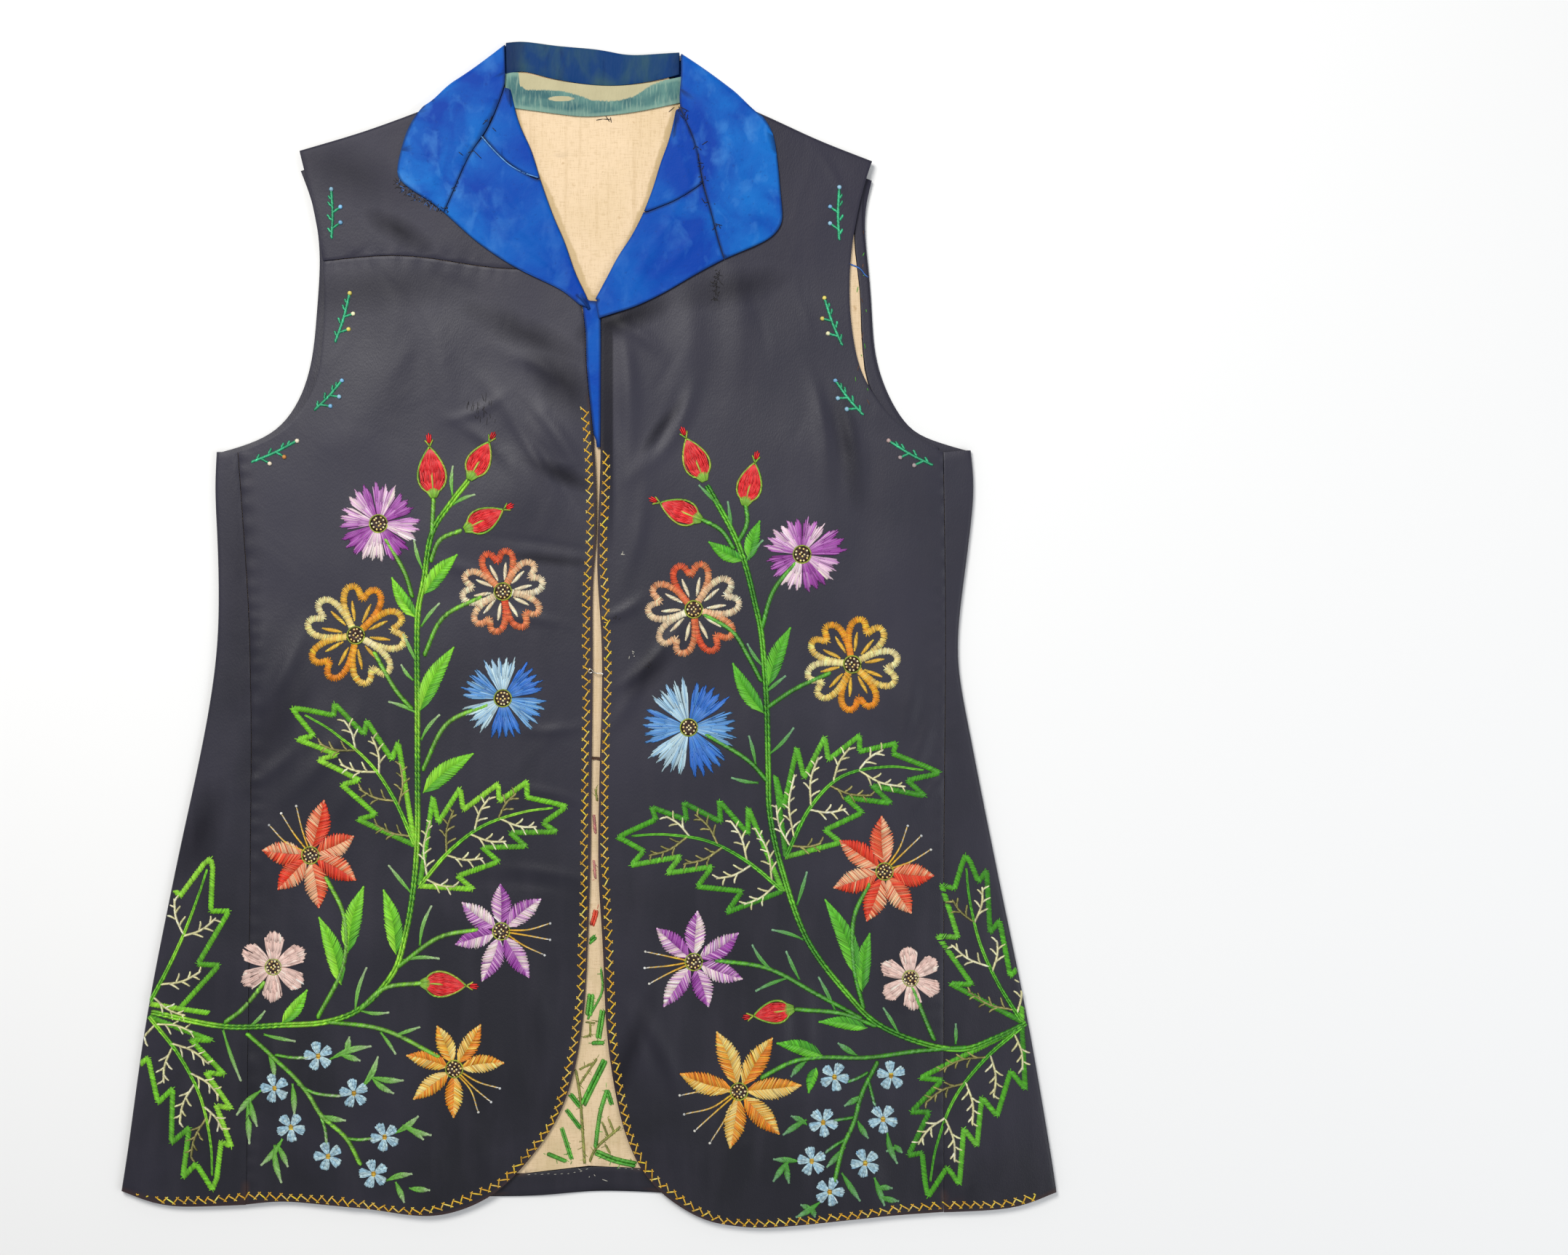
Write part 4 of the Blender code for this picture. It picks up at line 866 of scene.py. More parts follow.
def petal(work, root, way, length, half, floss, blunt=0.0, base=0.3, lift=0.25, halves=(0.0, 0.6)):
    """Long and short stitches up a petal. blunt rounds its end, halves are the shades of its two sides."""
    lanes = max(6, int(2 * half / 0.66))
    reach = 0.62 if blunt else 0.97
    for k in range(lanes):
        q = (k + 0.5) / lanes * 2 - 1
        shade = halves[0] if q + RNG.normal(0, 0.3) < 0 else halves[1]
        stop = (1 - blunt * q * q) * RNG.normal(1, 0.03)
        cuts = [0.0, 0.36 + RNG.normal(0, 0.06), 0.7 + RNG.normal(0, 0.06), stop]

        def spot(share):
            body = math.sin(math.pi * (base * 0.5 + (reach - base * 0.5) * share))
            return root + way * share * length + way * 1j * q * half * body

        for j in range(3):
            a, b = max(cuts[j] - 0.08, 0.0), cuts[j + 1]
            work.sew(spot(a), spot(b), 1.25, floss, shade + RNG.normal(0, 0.16), lift + 0.03 * j)


def fan(work, centre, heading, spread, inner, outer, teeth, depth, floss, shade, lift=0.25, bare=0.06):
    """Radial stitches that end in sharp teeth. shade is the first and last one's, bare the share missing."""
    lanes = max(8, int(math.radians(spread) * outer / 0.62))
    for k in range(lanes):
        share = (k + 0.5) / lanes
        tooth = abs((share * teeth) % 1 * 2 - 1)
        way = cmath.exp(1j * math.radians(heading + (share - 0.5) * spread))
        if RNG.random() < bare:
            continue
        stop = outer * (1 - depth * tooth) * RNG.normal(1, 0.03)
        middle = inner + (stop - inner) * RNG.uniform(0.4, 0.6)
        tone = shade[0] + (shade[1] - shade[0]) * share
        work.sew(centre + way * inner, centre + way * middle, 0.9, floss, tone + RNG.normal(0.06, 0.14), lift)
        start = centre + way * (middle - 1.6)
        work.sew(start, centre + way * stop, 1.15, floss, tone + RNG.normal(0, 0.12), lift + 0.04)


def flower_centre(work, centre, radius):
    """A dark disc with a thin green ring and a cluster of knots."""
    rounds = int(2 * math.pi * radius / 0.9)
    for k in range(rounds):
        way = cmath.exp(2j * math.pi * k / rounds)
        work.sew(centre + way * 0.3, centre + way * radius, 1.0, "centre", None, 0.4)
    ring = [centre + radius * cmath.exp(2j * math.pi * k / 16) for k in range(17)]
    stem_stitch(work, ring, 0.9, "centre_ring", 2.4, 0.5)
    for count, out in ((4, 0.24), (10, 0.68)):
        for k in range(count):
            way = cmath.exp(2j * math.pi * (k + RNG.normal(0, 0.12)) / count)
            work.knot(centre + way * radius * out * RNG.normal(1, 0.06), CENTRE_KNOT, "knot", 0.6)


def aster(work, centre, radius, turn, floss):
    shades = ((0.1, 0.8), (0.9, 0.1), (0.2, 0.6), (0.9, 0.7), (0.0, 0.2), (0.7, 1.0), (0.1, 0.5), (0.95, 0.6))
    for k, shade in enumerate(shades):
        heading = turn + k * 45 + RNG.normal(0, 2)
        reach = radius * RNG.normal(0.98, 0.05)
        fan(work, centre, heading, ASTER_SPREAD, FAN_FOOT, reach, 3, 0.2, floss, shade)
    flower_centre(work, centre, 5.6)


def cornflower(work, centre, radius, turn, floss):
    shades = ((1.0, 0.8), (0.1, 0.0), (0.6, 0.4), (0.0, 0.2), (1.0, 0.9), (0.4, 0.5))
    for k, shade in enumerate(shades):
        reach = radius * RNG.normal(0.99, 0.04)
        heading = turn - k * 60
        fan(work, centre, heading, CORNFLOWER_SPREAD, FAN_FOOT, reach, 5, 0.27, floss, shade, bare=0.08)
    flower_centre(work, centre, CENTRE_RADIUS)


def lily(work, centre, radius, turn, floss):
    """Six pointed petals, with stamens in the wide gap that turn points to."""
    gap, petals, breadth = 98, 6, {"red_lily": 0.225, "purple_lily": 0.2, "gold_lily": 0.175}[floss]
    stamens = 4 if radius > 33 else 3
    for k in range(stamens):
        way = cmath.exp(1j * math.radians(turn + (k - (stamens - 1) / 2) * 19))
        bent = centre + way * radius * 0.55 + way * 1j * RNG.normal(0, 1.2)
        line = (centre + way * 4, bent, centre + way * radius)
        stem_stitch(work, line, 1.1, "stamen", 3.0, 0.2, taper=0.3, graded=True)
        work.knot(centre + way * radius * 1.02, 0.9, "stamen_tip", 0.1)
    for k in range(petals):
        way = cmath.exp(1j * math.radians(turn + gap / 2 + k * (360 - gap) / (petals - 1)))
        halves = (0.05, 0.75) if k % 2 else (0.95, 0.35)
        far = centre + way * radius * RNG.normal(1.04, 0.06)

        def shade(side, share):
            return halves[side > 0] + RNG.normal(0, 0.28)

        bow = RNG.normal(0, 0.03)
        fishbone(work, centre + way * 3.0, far, radius * breadth, floss, shade, bow, 1.0, 0.14, 0.25)
    flower_centre(work, centre, CENTRE_RADIUS)


def pink(work, centre, radius, turn, floss):
    for k in range(6):
        way = cmath.exp(1j * math.radians(turn + k * 60))
        half = 5.9 * radius / 21
        petal(work, centre + way * 3.5, way, radius - 3.5, half, floss, 0.25, 0.2, halves=(0.1, 0.4))
    flower_centre(work, centre, 5.0)


def outlined(work, centre, radius, turn, floss):
    """Five two-lobed petals drawn by a wide satin band, black inside but for two stripes each."""
    petals, band, lobes = 5, OUTLINE_BAND, []
    for k in range(petals * 48):
        angle = k / (petals * 48) * 2 * math.pi
        u = (angle * petals / (2 * math.pi) % 1) * 2 - 1
        notch = 1 - 0.26 * math.exp(-((u / 0.17) ** 2))
        body = max(1 - abs(u) ** 5, 0) ** 0.6 * notch * (1.03 - 0.5 * (abs(u) - 0.42) ** 2)
        way = cmath.exp(1j * (angle - math.pi / petals + math.radians(turn)))
        lobes.append(centre + way * (radius - band / 2) * (0.18 + 0.82 * body) + wobble(0.1))
    lobes.append(lobes[0])
    start = RNG.random()

    def shade(share):
        return abs((share * 2 + start) % 1 * 2 - 1)

    satin_band(work, np.array(lobes), band, floss, 0.75, 0.15, shade=shade)
    for k in range(petals):
        for tilt in (-16, 16):
            way = cmath.exp(1j * math.radians(turn + k * 360 / petals + tilt))
            for k2 in range(13):
                share = (k2 + 0.5) / 13
                place = centre + way * radius * (0.27 + 0.4 * share)
                reach = (way * 1j + way * 1.2) * (0.3 + 1.0 * math.sin(math.pi * share))
                work.sew(place - reach, place + reach, 1.0, floss + "_stripe", None, 0.14)
    flower_centre(work, centre, CENTRE_RADIUS)


def forget_me_not(work, centre):
    turn = RNG.uniform(0, 72)
    for k in range(5):
        way = cmath.exp(1j * math.radians(turn + k * 72))
        petal(work, centre + way * 1.2, way, 8.0, 3.0, "forget_me_not", 0.14, 0.1, halves=(0.1, 0.5))
    for k in range(4):
        middle = centre + at(0, (k - 1.5) * 0.9)
        work.sew(middle - 1.6, middle + 1.6, 0.9, "gold_stripe", None, 0.5)


def bud(work, base, tip):
    """A red teardrop with a green cup, a stripe, a thin outline and a tuft at its tip."""
    axis, length = (tip - base) / abs(tip - base), abs(tip - base)
    body, half = length * 0.82, length * 0.235

    def rim(share, side):
        bulge = half * math.sin(math.pi * share ** 0.72) ** 0.85
        return base + axis * (body * share + 1j * side * bulge)

    lanes = int(2 * half / 0.62)
    for k in range(lanes):
        q = (k + 0.5) / lanes * 2 - 1
        cuts = [0.05, *(np.array((0.28, 0.5, 0.74)) + RNG.normal(0, 0.05, 3)), 0.97]
        for a, b in zip(cuts, cuts[1:]):
            work.sew(rim(max(a - 0.06, 0.04), q), rim(b, q), 1.15, "bud", None, 0.2)
    for side in (-1, 1):
        stem_stitch(work, [rim(s, side * 1.04) for s in np.linspace(0.02, 1, 9)], 1.2, "bud_green", 2.6, 0.3)
        fork = base + axis * body
        line = (fork, fork + axis * (2.0 + 1.0j * side), fork + axis * (4.4 + 2.6j * side))
        stem_stitch(work, line, 1.0, "bud_green", 2.4, 0.3)
    for lane in (-0.5, 0.5):
        stop = base + axis * (body * (0.46 - 0.05 * lane) + 0.6j * lane)
        work.sew(base + axis * 2, stop, 1.1, "bud_green", 0.0, 0.5)
    for lane in (-1.0, 0.0, 1.0):
        start = base + axis * (body + 2.0 + 0.8j * lane)
        work.sew(start, tip + axis * (2.4 - abs(lane) + 1.3j * lane), 1.2, "bud", 0.0, 0.35)
    for lane in np.linspace(-1, 1, 15):
        foot, head = base + axis * (1.4j * lane - 2.4), base + axis * (4.6 - 2.2 * lane ** 2 + 4.2j * lane)
        work.sew(foot, head, 1.1, "bud_green", 0.8, 0.45)


def jagged_leaf(work, row):
    """A leaf drawn by a zigzag satin band, with a midrib and a forked vein to each tooth."""
    base, tip = at(row["x"], row["y"]), at(row["tip_x"], row["tip_y"])
    axis, length = (tip - base) / abs(tip - base), abs(tip - base)

    def spot(share, off):
        return base + axis * length * share + axis * 1j * (row["bend"] * math.sin(math.pi * share) + off)

    edges, veins = [], []
    for side, (teeth, first, final, half) in ((1, row["left"]), (-1, row["right"])):
        edge = [spot(0.0, 0.0)]
        for share in np.linspace(first, final, teeth) + RNG.normal(0, 0.01, teeth):
            out = side * half * (1.15 - 0.65 * share) * RNG.normal(1, 0.04)
            edge += [spot(share, out), spot(share - 0.045, out * RNG.uniform(0.46, 0.58))]
            veins.append((side, spot(max(share - 0.26, 0.05), 0.0), spot(share - 0.07, out * 0.72)))
        edges.append(edge + [spot(0.95, side * 3.0), spot(1.0, 0.0)])
    outline = np.array(edges[0] + edges[1][::-1][1:])
    satin_band(work, outline, LEAF_BAND, "jagged_leaf", slant=0.55, shade=lambda s: abs(s * 3 % 2 - 1))
    midrib = [spot(share, 0.0) for share in (0.0, 0.25, 0.5, 0.75, 0.93)]
    stem_stitch(work, midrib, LEAF_MIDRIB, "jagged_leaf", 3.4, 0.2, taper=0.5)
    for side, root, head in veins:
        floss = RNG.choice(("vein", "vein", "vein_olive"))
        vein = curve((root, (root + head) / 2 + (head - root) * 0.09j * side, head), 1.0)
        stem_stitch(work, vein[::4], VEIN, floss, 3.4, 0.14)
        for k, place in enumerate(vein[6:-2:4]):
            bend = 1 if k % 2 else -1
            tip = place + (head - root) / abs(head - root) * cmath.exp(0.85j * bend) * (7.4 - 0.6 * k)
            middle = (place + tip) / 2 - (tip - place) * 0.08j * bend
            stem_stitch(work, (place, middle, tip), VEIN_TWIG, floss, 3.4, 0.14)


def shoot(work, base, tip):
    """A side shoot that pales to its tip. Those among the forget-me-nots are leafy."""
    half = 1.9 if base.imag < LEAFY_BELOW else 1.15
    foot = base - (tip - base) / abs(tip - base) * 1.6
    bow = RNG.uniform(-0.07, 0.07)
    fishbone(work, foot, tip, half, "twig", lambda side, share: share, bow, 1.2, 0.05, 0.1)


def sprig(work, floss, base, far, side):
    """A stem with shoots that end in knots on the side that is named, and short bare ones on the other."""
    base, far = at(*base), at(*far)
    way, length = (far - base) / abs(far - base), abs(far - base)
    stem_stitch(work, (base, (base + far) / 2 + way * 0.8j * side, far), SPRIG_STEM, "sprig", 2.6, 0.1)
    work.knot(far + way * 0.6, SPRIG_KNOT, floss, 0.1)
    for share, reach in SPRIG_SHOOTS:
        knotted = reach > SPRIG_KNOTTED
        foot = base + way * length * share
        tip = foot + way * cmath.exp(0.95j * side if knotted else -0.6j * side) * reach
        stem_stitch(work, (foot, tip), SPRIG_TWIG, "sprig", 2.4, 0.1)
        if knotted:
            work.knot(tip, SPRIG_KNOT, floss, 0.1)


def feather_stitch(work, points):
    """A zigzag of short and long arms, with short spurs where it turns."""
    line = curve(points, FEATHER_PITCH / 2)
    way = ways(line)
    turns = [
        place + along * 1j * (1 if i % 2 else -1) * FEATHER_HALF - along * 0.9 * (i % 2) + wobble(0.2)
        for i, (place, along) in enumerate(zip(line, way))
    ]
    for i, (here, there) in enumerate(zip(turns, turns[1:])):
        out = way[i] * 1j * (1 if i % 2 else -1)
        work.sew(here - (there - here) * 0.08, there, FEATHER_THREAD, "feather", None, 0.15)
        spur = here - way[i] * 1.2 + out * 0.9
        work.sew(spur, here + way[i] * 0.3, FEATHER_THREAD * 0.9, "feather", None, 0.12)
        if RNG.random() < 0.7:
            work.sew(here + way[i] * 0.8 + out * 0.9, here, FEATHER_THREAD * 0.8, "feather", None, 0.12)


def running(work, points, floss, length, gap, width, lift=0.05, sway=0.15):
    """Plain sewing along a line."""
    line = curve(points, length + gap)
    for place, way in zip(line, ways(line)):
        work.sew(place + wobble(sway), place + way * length + wobble(sway), width, floss, None, lift)


def flowers_of(side):
    """Flowers, buds and forget-me-nots on one side of the centre: -1 is the wearer's right."""
    makers = {"aster": aster, "cornflower": cornflower, "lily": lily, "pink": pink, "outlined": outlined}
    label = "right" if side < 0 else "left"
    bold, small = Work("flowers_" + label), Work("buds_" + label)
    for row in rows_of(FLOWER_COLUMNS, FLOWERS):
        if row["x"] * side > 0:
            makers[row["kind"]](bold, at(row["x"], row["y"]), row["radius"], row["turn"], row["floss"])
    for x, y in FORGET_ME_NOTS:
        if x * side > 0:
            forget_me_not(small, at(x, y))
    for x, y, tip_x, tip_y in BUDS:
        if x * side > 0:
            bud(small, at(x, y), at(tip_x, tip_y))
    return [bold, small]


def greenery_of(side):
    label = "right" if side < 0 else "left"
    tone = SHADED_GREEN if side > 0 else (1, 1, 1)
    stems, leaves = Work("stems_" + label, tone=tone), Work("leaves_" + label, tone=tone)
    for width, *points in STEMS:
        if points[0][0] * side > 0:
            floss = {MAIN_STEM: "stem", BRANCH: "branch", TWIG: "twig"}[width]
            stem_stitch(stems, points, width, floss, lift=0.12, graded=width != MAIN_STEM)
    for x, y, tip_x, tip_y in SHOOTS:
        if x * side > 0:
            shoot(stems, at(x, y), at(tip_x, tip_y))
    for floss, *points in SPRIGS:
        if points[0][0] * side > 0:
            sprig(stems, floss, *points)
    for x, y, tip_x, tip_y, half in SATIN_LEAVES:
        if x * side > 0:
            satin_leaf(leaves, at(x, y), at(tip_x, tip_y), half)
    for row in rows_of(JAGGED_COLUMNS, JAGGED_LEAVES):
        if row["x"] * side > 0:
            jagged_leaf(leaves, row)
    return [stems, leaves]


def edge_sewing():
    """Feather stitch, seam stitches, repairs and stray threads on the fronts and lapels."""
    feather, sewing = Work("feather_stitch", low=2.8), Work("sewing")
    feather_stitch(feather, FEATHER_RIGHT)
    feather_stitch(feather, FEATHER_LEFT)
    stem_stitch(sewing, LAPEL_SEAM, 0.8, "pale_blue_thread", 2.4, 0.1)
    for x, y in COLLAR_TUFTS:
        for _ in range(5):
            start = at(x, y) + wobble(1.4)
            sewing.sew(start, start + wobble(2.2), 0.55, "black_thread", None, 0.2)
    for line, count in ((COLLAR_FRAY, 60), (RIP, 34)):
        for place in evenly(curve(line, 1.0), 1.0)[:count]:
            last = "blue_thread" if line is COLLAR_FRAY else "black_thread"
            for floss in ("black_thread", "black_thread", last):
                start = place + wobble(0.7)
                sewing.sew(start, start + wobble(1.6), 0.5, floss, None, 0.1)
    for x, y, floss in SPECKS:
        for _ in range(4):
            start = at(x, y) + wobble(0.9)
            sewing.sew(start, start + wobble(1.3), 0.6, floss, None, 0.1)
    for _ in range(26):
        start = at(-68, 138) + wobble(5)
        sewing.sew(start, start + at(RNG.normal(0, 1), RNG.normal(4, 1.5)), 0.45, "black_thread", None, 0.05)
    running(sewing, ((2, 10), (5, 8), (9, 7)), "feather", 2.6, 0.6, 0.7)
    running(sewing, ((30, -330), (32, -336), (33, -342)), "orange_thread", 2.4, 0.8, 0.8)
    loose = Work("loose_threads", low=1.5)
    stem_stitch(loose, ((161, 229), (168, 226), (172, 221), (179, 219)), 0.8, "blue_thread", 3.0, 0.2)
    for lane in (-0.6, 0.0, 0.6):
        loose.sew(at(-0.5, -77 + lane), at(9, -77.4 + lane), 0.7, "brown_thread", None, 0.4)
    for k in range(16):
        start = at(170 + RNG.normal(0, 2.0), 250 - k * 7)
        end = start + at(RNG.normal(0, 1), RNG.normal(-3, 1))
        loose.sew(start, end, 0.7, "wrong_green" if k % 3 else "brown_thread", None, 0.05)
    for start, end in NECK_MARK:
        loose.sew(at(*start), at(*end), 0.7, "black_thread", None, 0.1)
    return [feather, sewing, loose]


def inside_sewing():
    """What shows on the lining and its facing in the centre gap."""
    inside = Work("inside_sewing", low=1.5, high=3.5)
    for floss, width, *points in WRONG_SIDE:
        stem_stitch(inside, points, width, floss, 3.0, 0.03)
        for place in curve(points, 2.2):
            inside.sew(place + wobble(0.6), place + wobble(1.8), 0.6, floss, None, 0.03)
    running(inside, ((-38, -335), (-10, -334), (6, -330), (30, -332)), "pale_thread", 1.6, 2.4, 0.4)
    for x, y in HEM_ENDS:
        inside.sew(at(x, y), at(x, y) + wobble(2.4), 0.6, "pale_thread", None, 0.1)
    return inside


# Finishes


def put(tree, kind, inputs=None, **settings):
    """A node whose inputs are set by name or number, to a value or from another node's output."""
    node = tree.nodes.new(kind)
    for key, value in settings.items():
        setattr(node, key, value)
    for key, value in (inputs or {}).items():
        if isinstance(value, bpy.types.NodeSocket):
            tree.links.new(value, node.inputs[key])
        else:
            node.inputs[key].default_value = value
    return node


def new_look(name, roughness):
    look = bpy.data.materials.new(name)
    look.use_nodes = True
    tree = look.node_tree
    shader = tree.nodes["Principled BSDF"]
    shader.inputs["Roughness"].default_value = roughness
    place = put(tree, "ShaderNodeTexCoord").outputs["Object"]
    return look, tree, shader, place


def noise(tree, place, scale, detail=4.0, stretch=(1, 1, 1), turn=0.0, distortion=0.0):
    mapped = put(tree, "ShaderNodeMapping", {"Vector": place, "Scale": stretch, "Rotation": (0, 0, turn)})
    inputs = {"Vector": mapped.outputs[0], "Scale": scale, "Detail": detail, "Distortion": distortion}
    return put(tree, "ShaderNodeTexNoise", inputs).outputs["Fac"]


def ramp(tree, value, low, high):
    """value carried from low..high to 0..1, and held there."""
    inputs = {"Value": value, "From Min": low, "From Max": high}
    return put(tree, "ShaderNodeMapRange", inputs, clamp=True).outputs[0]


def mix(tree, share, first, second):
    return put(tree, "ShaderNodeMixRGB", {"Fac": share, "Color1": first, "Color2": second}).outputs[0]


def rgb(*colour):
    return (*linear(colour), 1.0)


def times(tree, value, factor):
    return put(tree, "ShaderNodeMath", {0: value, 1: factor}, operation="MULTIPLY").outputs[0]


def bumped(tree, shader, height, distance, strength=1.0, below=None):
    inputs = {"Height": height, "Distance": distance, "Strength": strength}
    if below:
        inputs["Normal"] = below
    normal = put(tree, "ShaderNodeBump", inputs).outputs[0]
    tree.links.new(normal, shader.inputs["Normal"])
    return normal


def object_part(tree, place, axis):
    return put(tree, "ShaderNodeSeparateXYZ", {0: place}).outputs[axis]


def attribute(tree, name):
    return put(tree, "ShaderNodeAttribute", attribute_name=name).outputs["Fac"]


def added(tree, first, second, kind="ADD"):
    return put(tree, "ShaderNodeMath", {0: first, 1: second}, operation=kind).outputs[0]


def satin_look():
    """Black satin: nearly black, greyer on the chest with painted sheen, darker with painted shade in its
    folds and along the left front's edge, and brown at its worn front edges and hem.
    """
    look, tree, shader, place = new_look("black_satin", 0.46)
    worn = ramp(tree, noise(tree, place, 9.0, 6.0, distortion=0.4), 0.4, 0.68)
    streaks = ramp(tree, noise(tree, place, 22.0, 5.0, (3.2, 0.7, 1)), 0.45, 0.75)
    # Painted sheen: the satin's colour grows greyer up towards the chest
    chest_sheen = ramp(tree, object_part(tree, place, 1), -0.3, 0.12)
    colour = mix(tree, worn, rgb(16, 16, 26), rgb(30, 28, 42))
    colour = mix(tree, times(tree, chest_sheen, 0.45), colour, rgb(48, 46, 64))
    colour = mix(tree, times(tree, streaks, 0.35), colour, rgb(46, 43, 54))
    fringe = ramp(tree, attribute(tree, "Line"), 11.0, 6.0)
    rubbed = added(tree, ramp(tree, attribute(tree, "NearRim"), 0.35, 0.9), fringe, "MULTIPLY")
    colour = mix(tree, times(tree, rubbed, 0.55), colour, rgb(62, 38, 30))
    across, up = object_part(tree, place, 0), object_part(tree, place, 1)
    # Painted shade: a band along the left front's edge, darkening the satin's colour and dulling its gloss
    dark = ramp(tree, across, EDGE_SHADE + 0.0006, EDGE_SHADE - 0.0006)
    dark = added(tree, dark, ramp(tree, across, 0.0, 0.0015), "MULTIPLY")
    dark = times(tree, added(tree, dark, ramp(tree, up, EDGE_SHADE_FOOT, 0.12), "MULTIPLY"), 0.7)
    # Painted shade of the soft dark places in SHADED, where the fronts' folds lie in shadow
    for row in rows_of(SHADED_COLUMNS, SHADED):
        inputs = {
            "Vector": place,
            "Location": (row["x"] * MM, row["y"] * MM, 0),
            "Rotation": (0, 0, math.radians(row["heading"])),
            "Scale": (row["along"] * MM, row["across"] * MM, 1e4),
        }
        spot = put(tree, "ShaderNodeMapping", inputs, vector_type="TEXTURE").outputs[0]
        far = put(tree, "ShaderNodeVectorMath", {0: spot}, operation="LENGTH").outputs["Value"]
        patchy = added(tree, far, times(tree, added(tree, streaks, worn), 0.25))
        dark = added(tree, dark, times(tree, ramp(tree, patchy, 1.35, 0.3), row["depth"]), "MAXIMUM")
    # The painted shade darkens the satin's colour here
    colour = mix(tree, dark, colour, rgb(14, 13, 20))
    tree.links.new(colour, shader.inputs["Base Color"])
    shoulder = ramp(tree, up, 0.34, 0.15)
    gloss = put(tree, "ShaderNodeMapRange", {"Value": shoulder, "To Min": 0.2, "To Max": 0.45}).outputs[0]
    lit = put(tree, "ShaderNodeMapRange", {"Value": dark, "To Min": 1.0, "To Max": 0.25}).outputs[0]
    tree.links.new(added(tree, gloss, lit, "MULTIPLY"), shader.inputs["Specular IOR Level"])
    rough = put(tree, "ShaderNodeMapRange", {"Value": worn, "To Min": 0.44, "To Max": 0.54}).outputs[0]
    tree.links.new(rough, shader.inputs["Roughness"])
    rumple = bumped(tree, shader, noise(tree, place, 34.0, 5.0, (1.0, 0.7, 1), distortion=0.5), 0.003, 0.13)
    bumped(tree, shader, noise(tree, place, 1500.0, 2.0, (1.0, 0.4, 1)), 0.00018, 0.5, rumple)
    return look


def silk_look():
    """Bright blue silk with a mottled bloom and paler rubbed streaks."""
    look, tree, shader, place = new_look("blue_silk", 0.55)
    shader.inputs["Specular IOR Level"].default_value = 0.11
    bloom = ramp(tree, noise(tree, place, 26.0, 6.0, distortion=0.5), 0.38, 0.62)
    colour = mix(tree, bloom, rgb(0, 58, 154), rgb(14, 101, 184))
    rubbed = ramp(tree, noise(tree, place, 80.0, 8.0, (1.25, 0.8, 1), 0.3, 0.4), 0.52, 0.78)
    colour = mix(tree, times(tree, rubbed, 0.6), colour, rgb(70, 136, 204))
    across = added(tree, object_part(tree, place, 0), 0.0, "ABSOLUTE")
    colour = mix(tree, times(tree, ramp(tree, across, 0.085, 0.045), 0.55), colour, rgb(0, 62, 158))
    specks = ramp(tree, noise(tree, place, 420.0, 3.0), 0.62, 0.72)
    colour = mix(tree, times(tree, specks, 0.3), colour, rgb(10, 50, 124))
    # Darker at the very rim: partly frayed silk, partly painted shade of the rolled edges and seams
    frayed = ramp(tree, attribute(tree, "NearRim"), 0.6, 0.98)
    colour = mix(tree, times(tree, frayed, 0.75), colour, rgb(8, 26, 64))
    tree.links.new(colour, shader.inputs["Base Color"])
    rumple = bumped(tree, shader, noise(tree, place, 60.0, 5.0), 0.002, 0.4)
    bumped(tree, shader, noise(tree, place, 1400.0, 2.0, (1.0, 0.5, 1)), 0.00015, 0.5, rumple)
    return look


def worn_silk_look():
    """The collar's blue silk inside the neck, dulled and gone grey in upright patches, with painted shade at
    both ends where the collar rolls over the neck corners.
    """
    look, tree, shader, place = new_look("worn_silk", 0.6)
    shader.inputs["Specular IOR Level"].default_value = 0.12
    patches = ramp(tree, noise(tree, place, 36.0, 6.0, (1.6, 0.7, 1), distortion=0.6), 0.38, 0.62)
    colour = mix(tree, patches, rgb(4, 52, 104), rgb(42, 76, 92))
    marks = ramp(tree, noise(tree, place, 90.0, 5.0, (1.4, 0.6, 1)), 0.58, 0.72)
    colour = mix(tree, times(tree, marks, 0.6), colour, rgb(12, 40, 84))
    # Painted shade at the band's two ends, in the shadow of the collar's roll over the neck corners
    turned = ramp(tree, object_part(tree, place, 0), -0.038, -0.046)
    turned = added(tree, turned, ramp(tree, object_part(tree, place, 0), 0.048, 0.058), "MAXIMUM")
    colour = mix(tree, times(tree, turned, 0.75), colour, rgb(10, 34, 72))
    tree.links.new(colour, shader.inputs["Base Color"])
    bumped(tree, shader, noise(tree, place, 90.0, 6.0, (2.0, 0.6, 1)), 0.0016, 0.6)
    return look


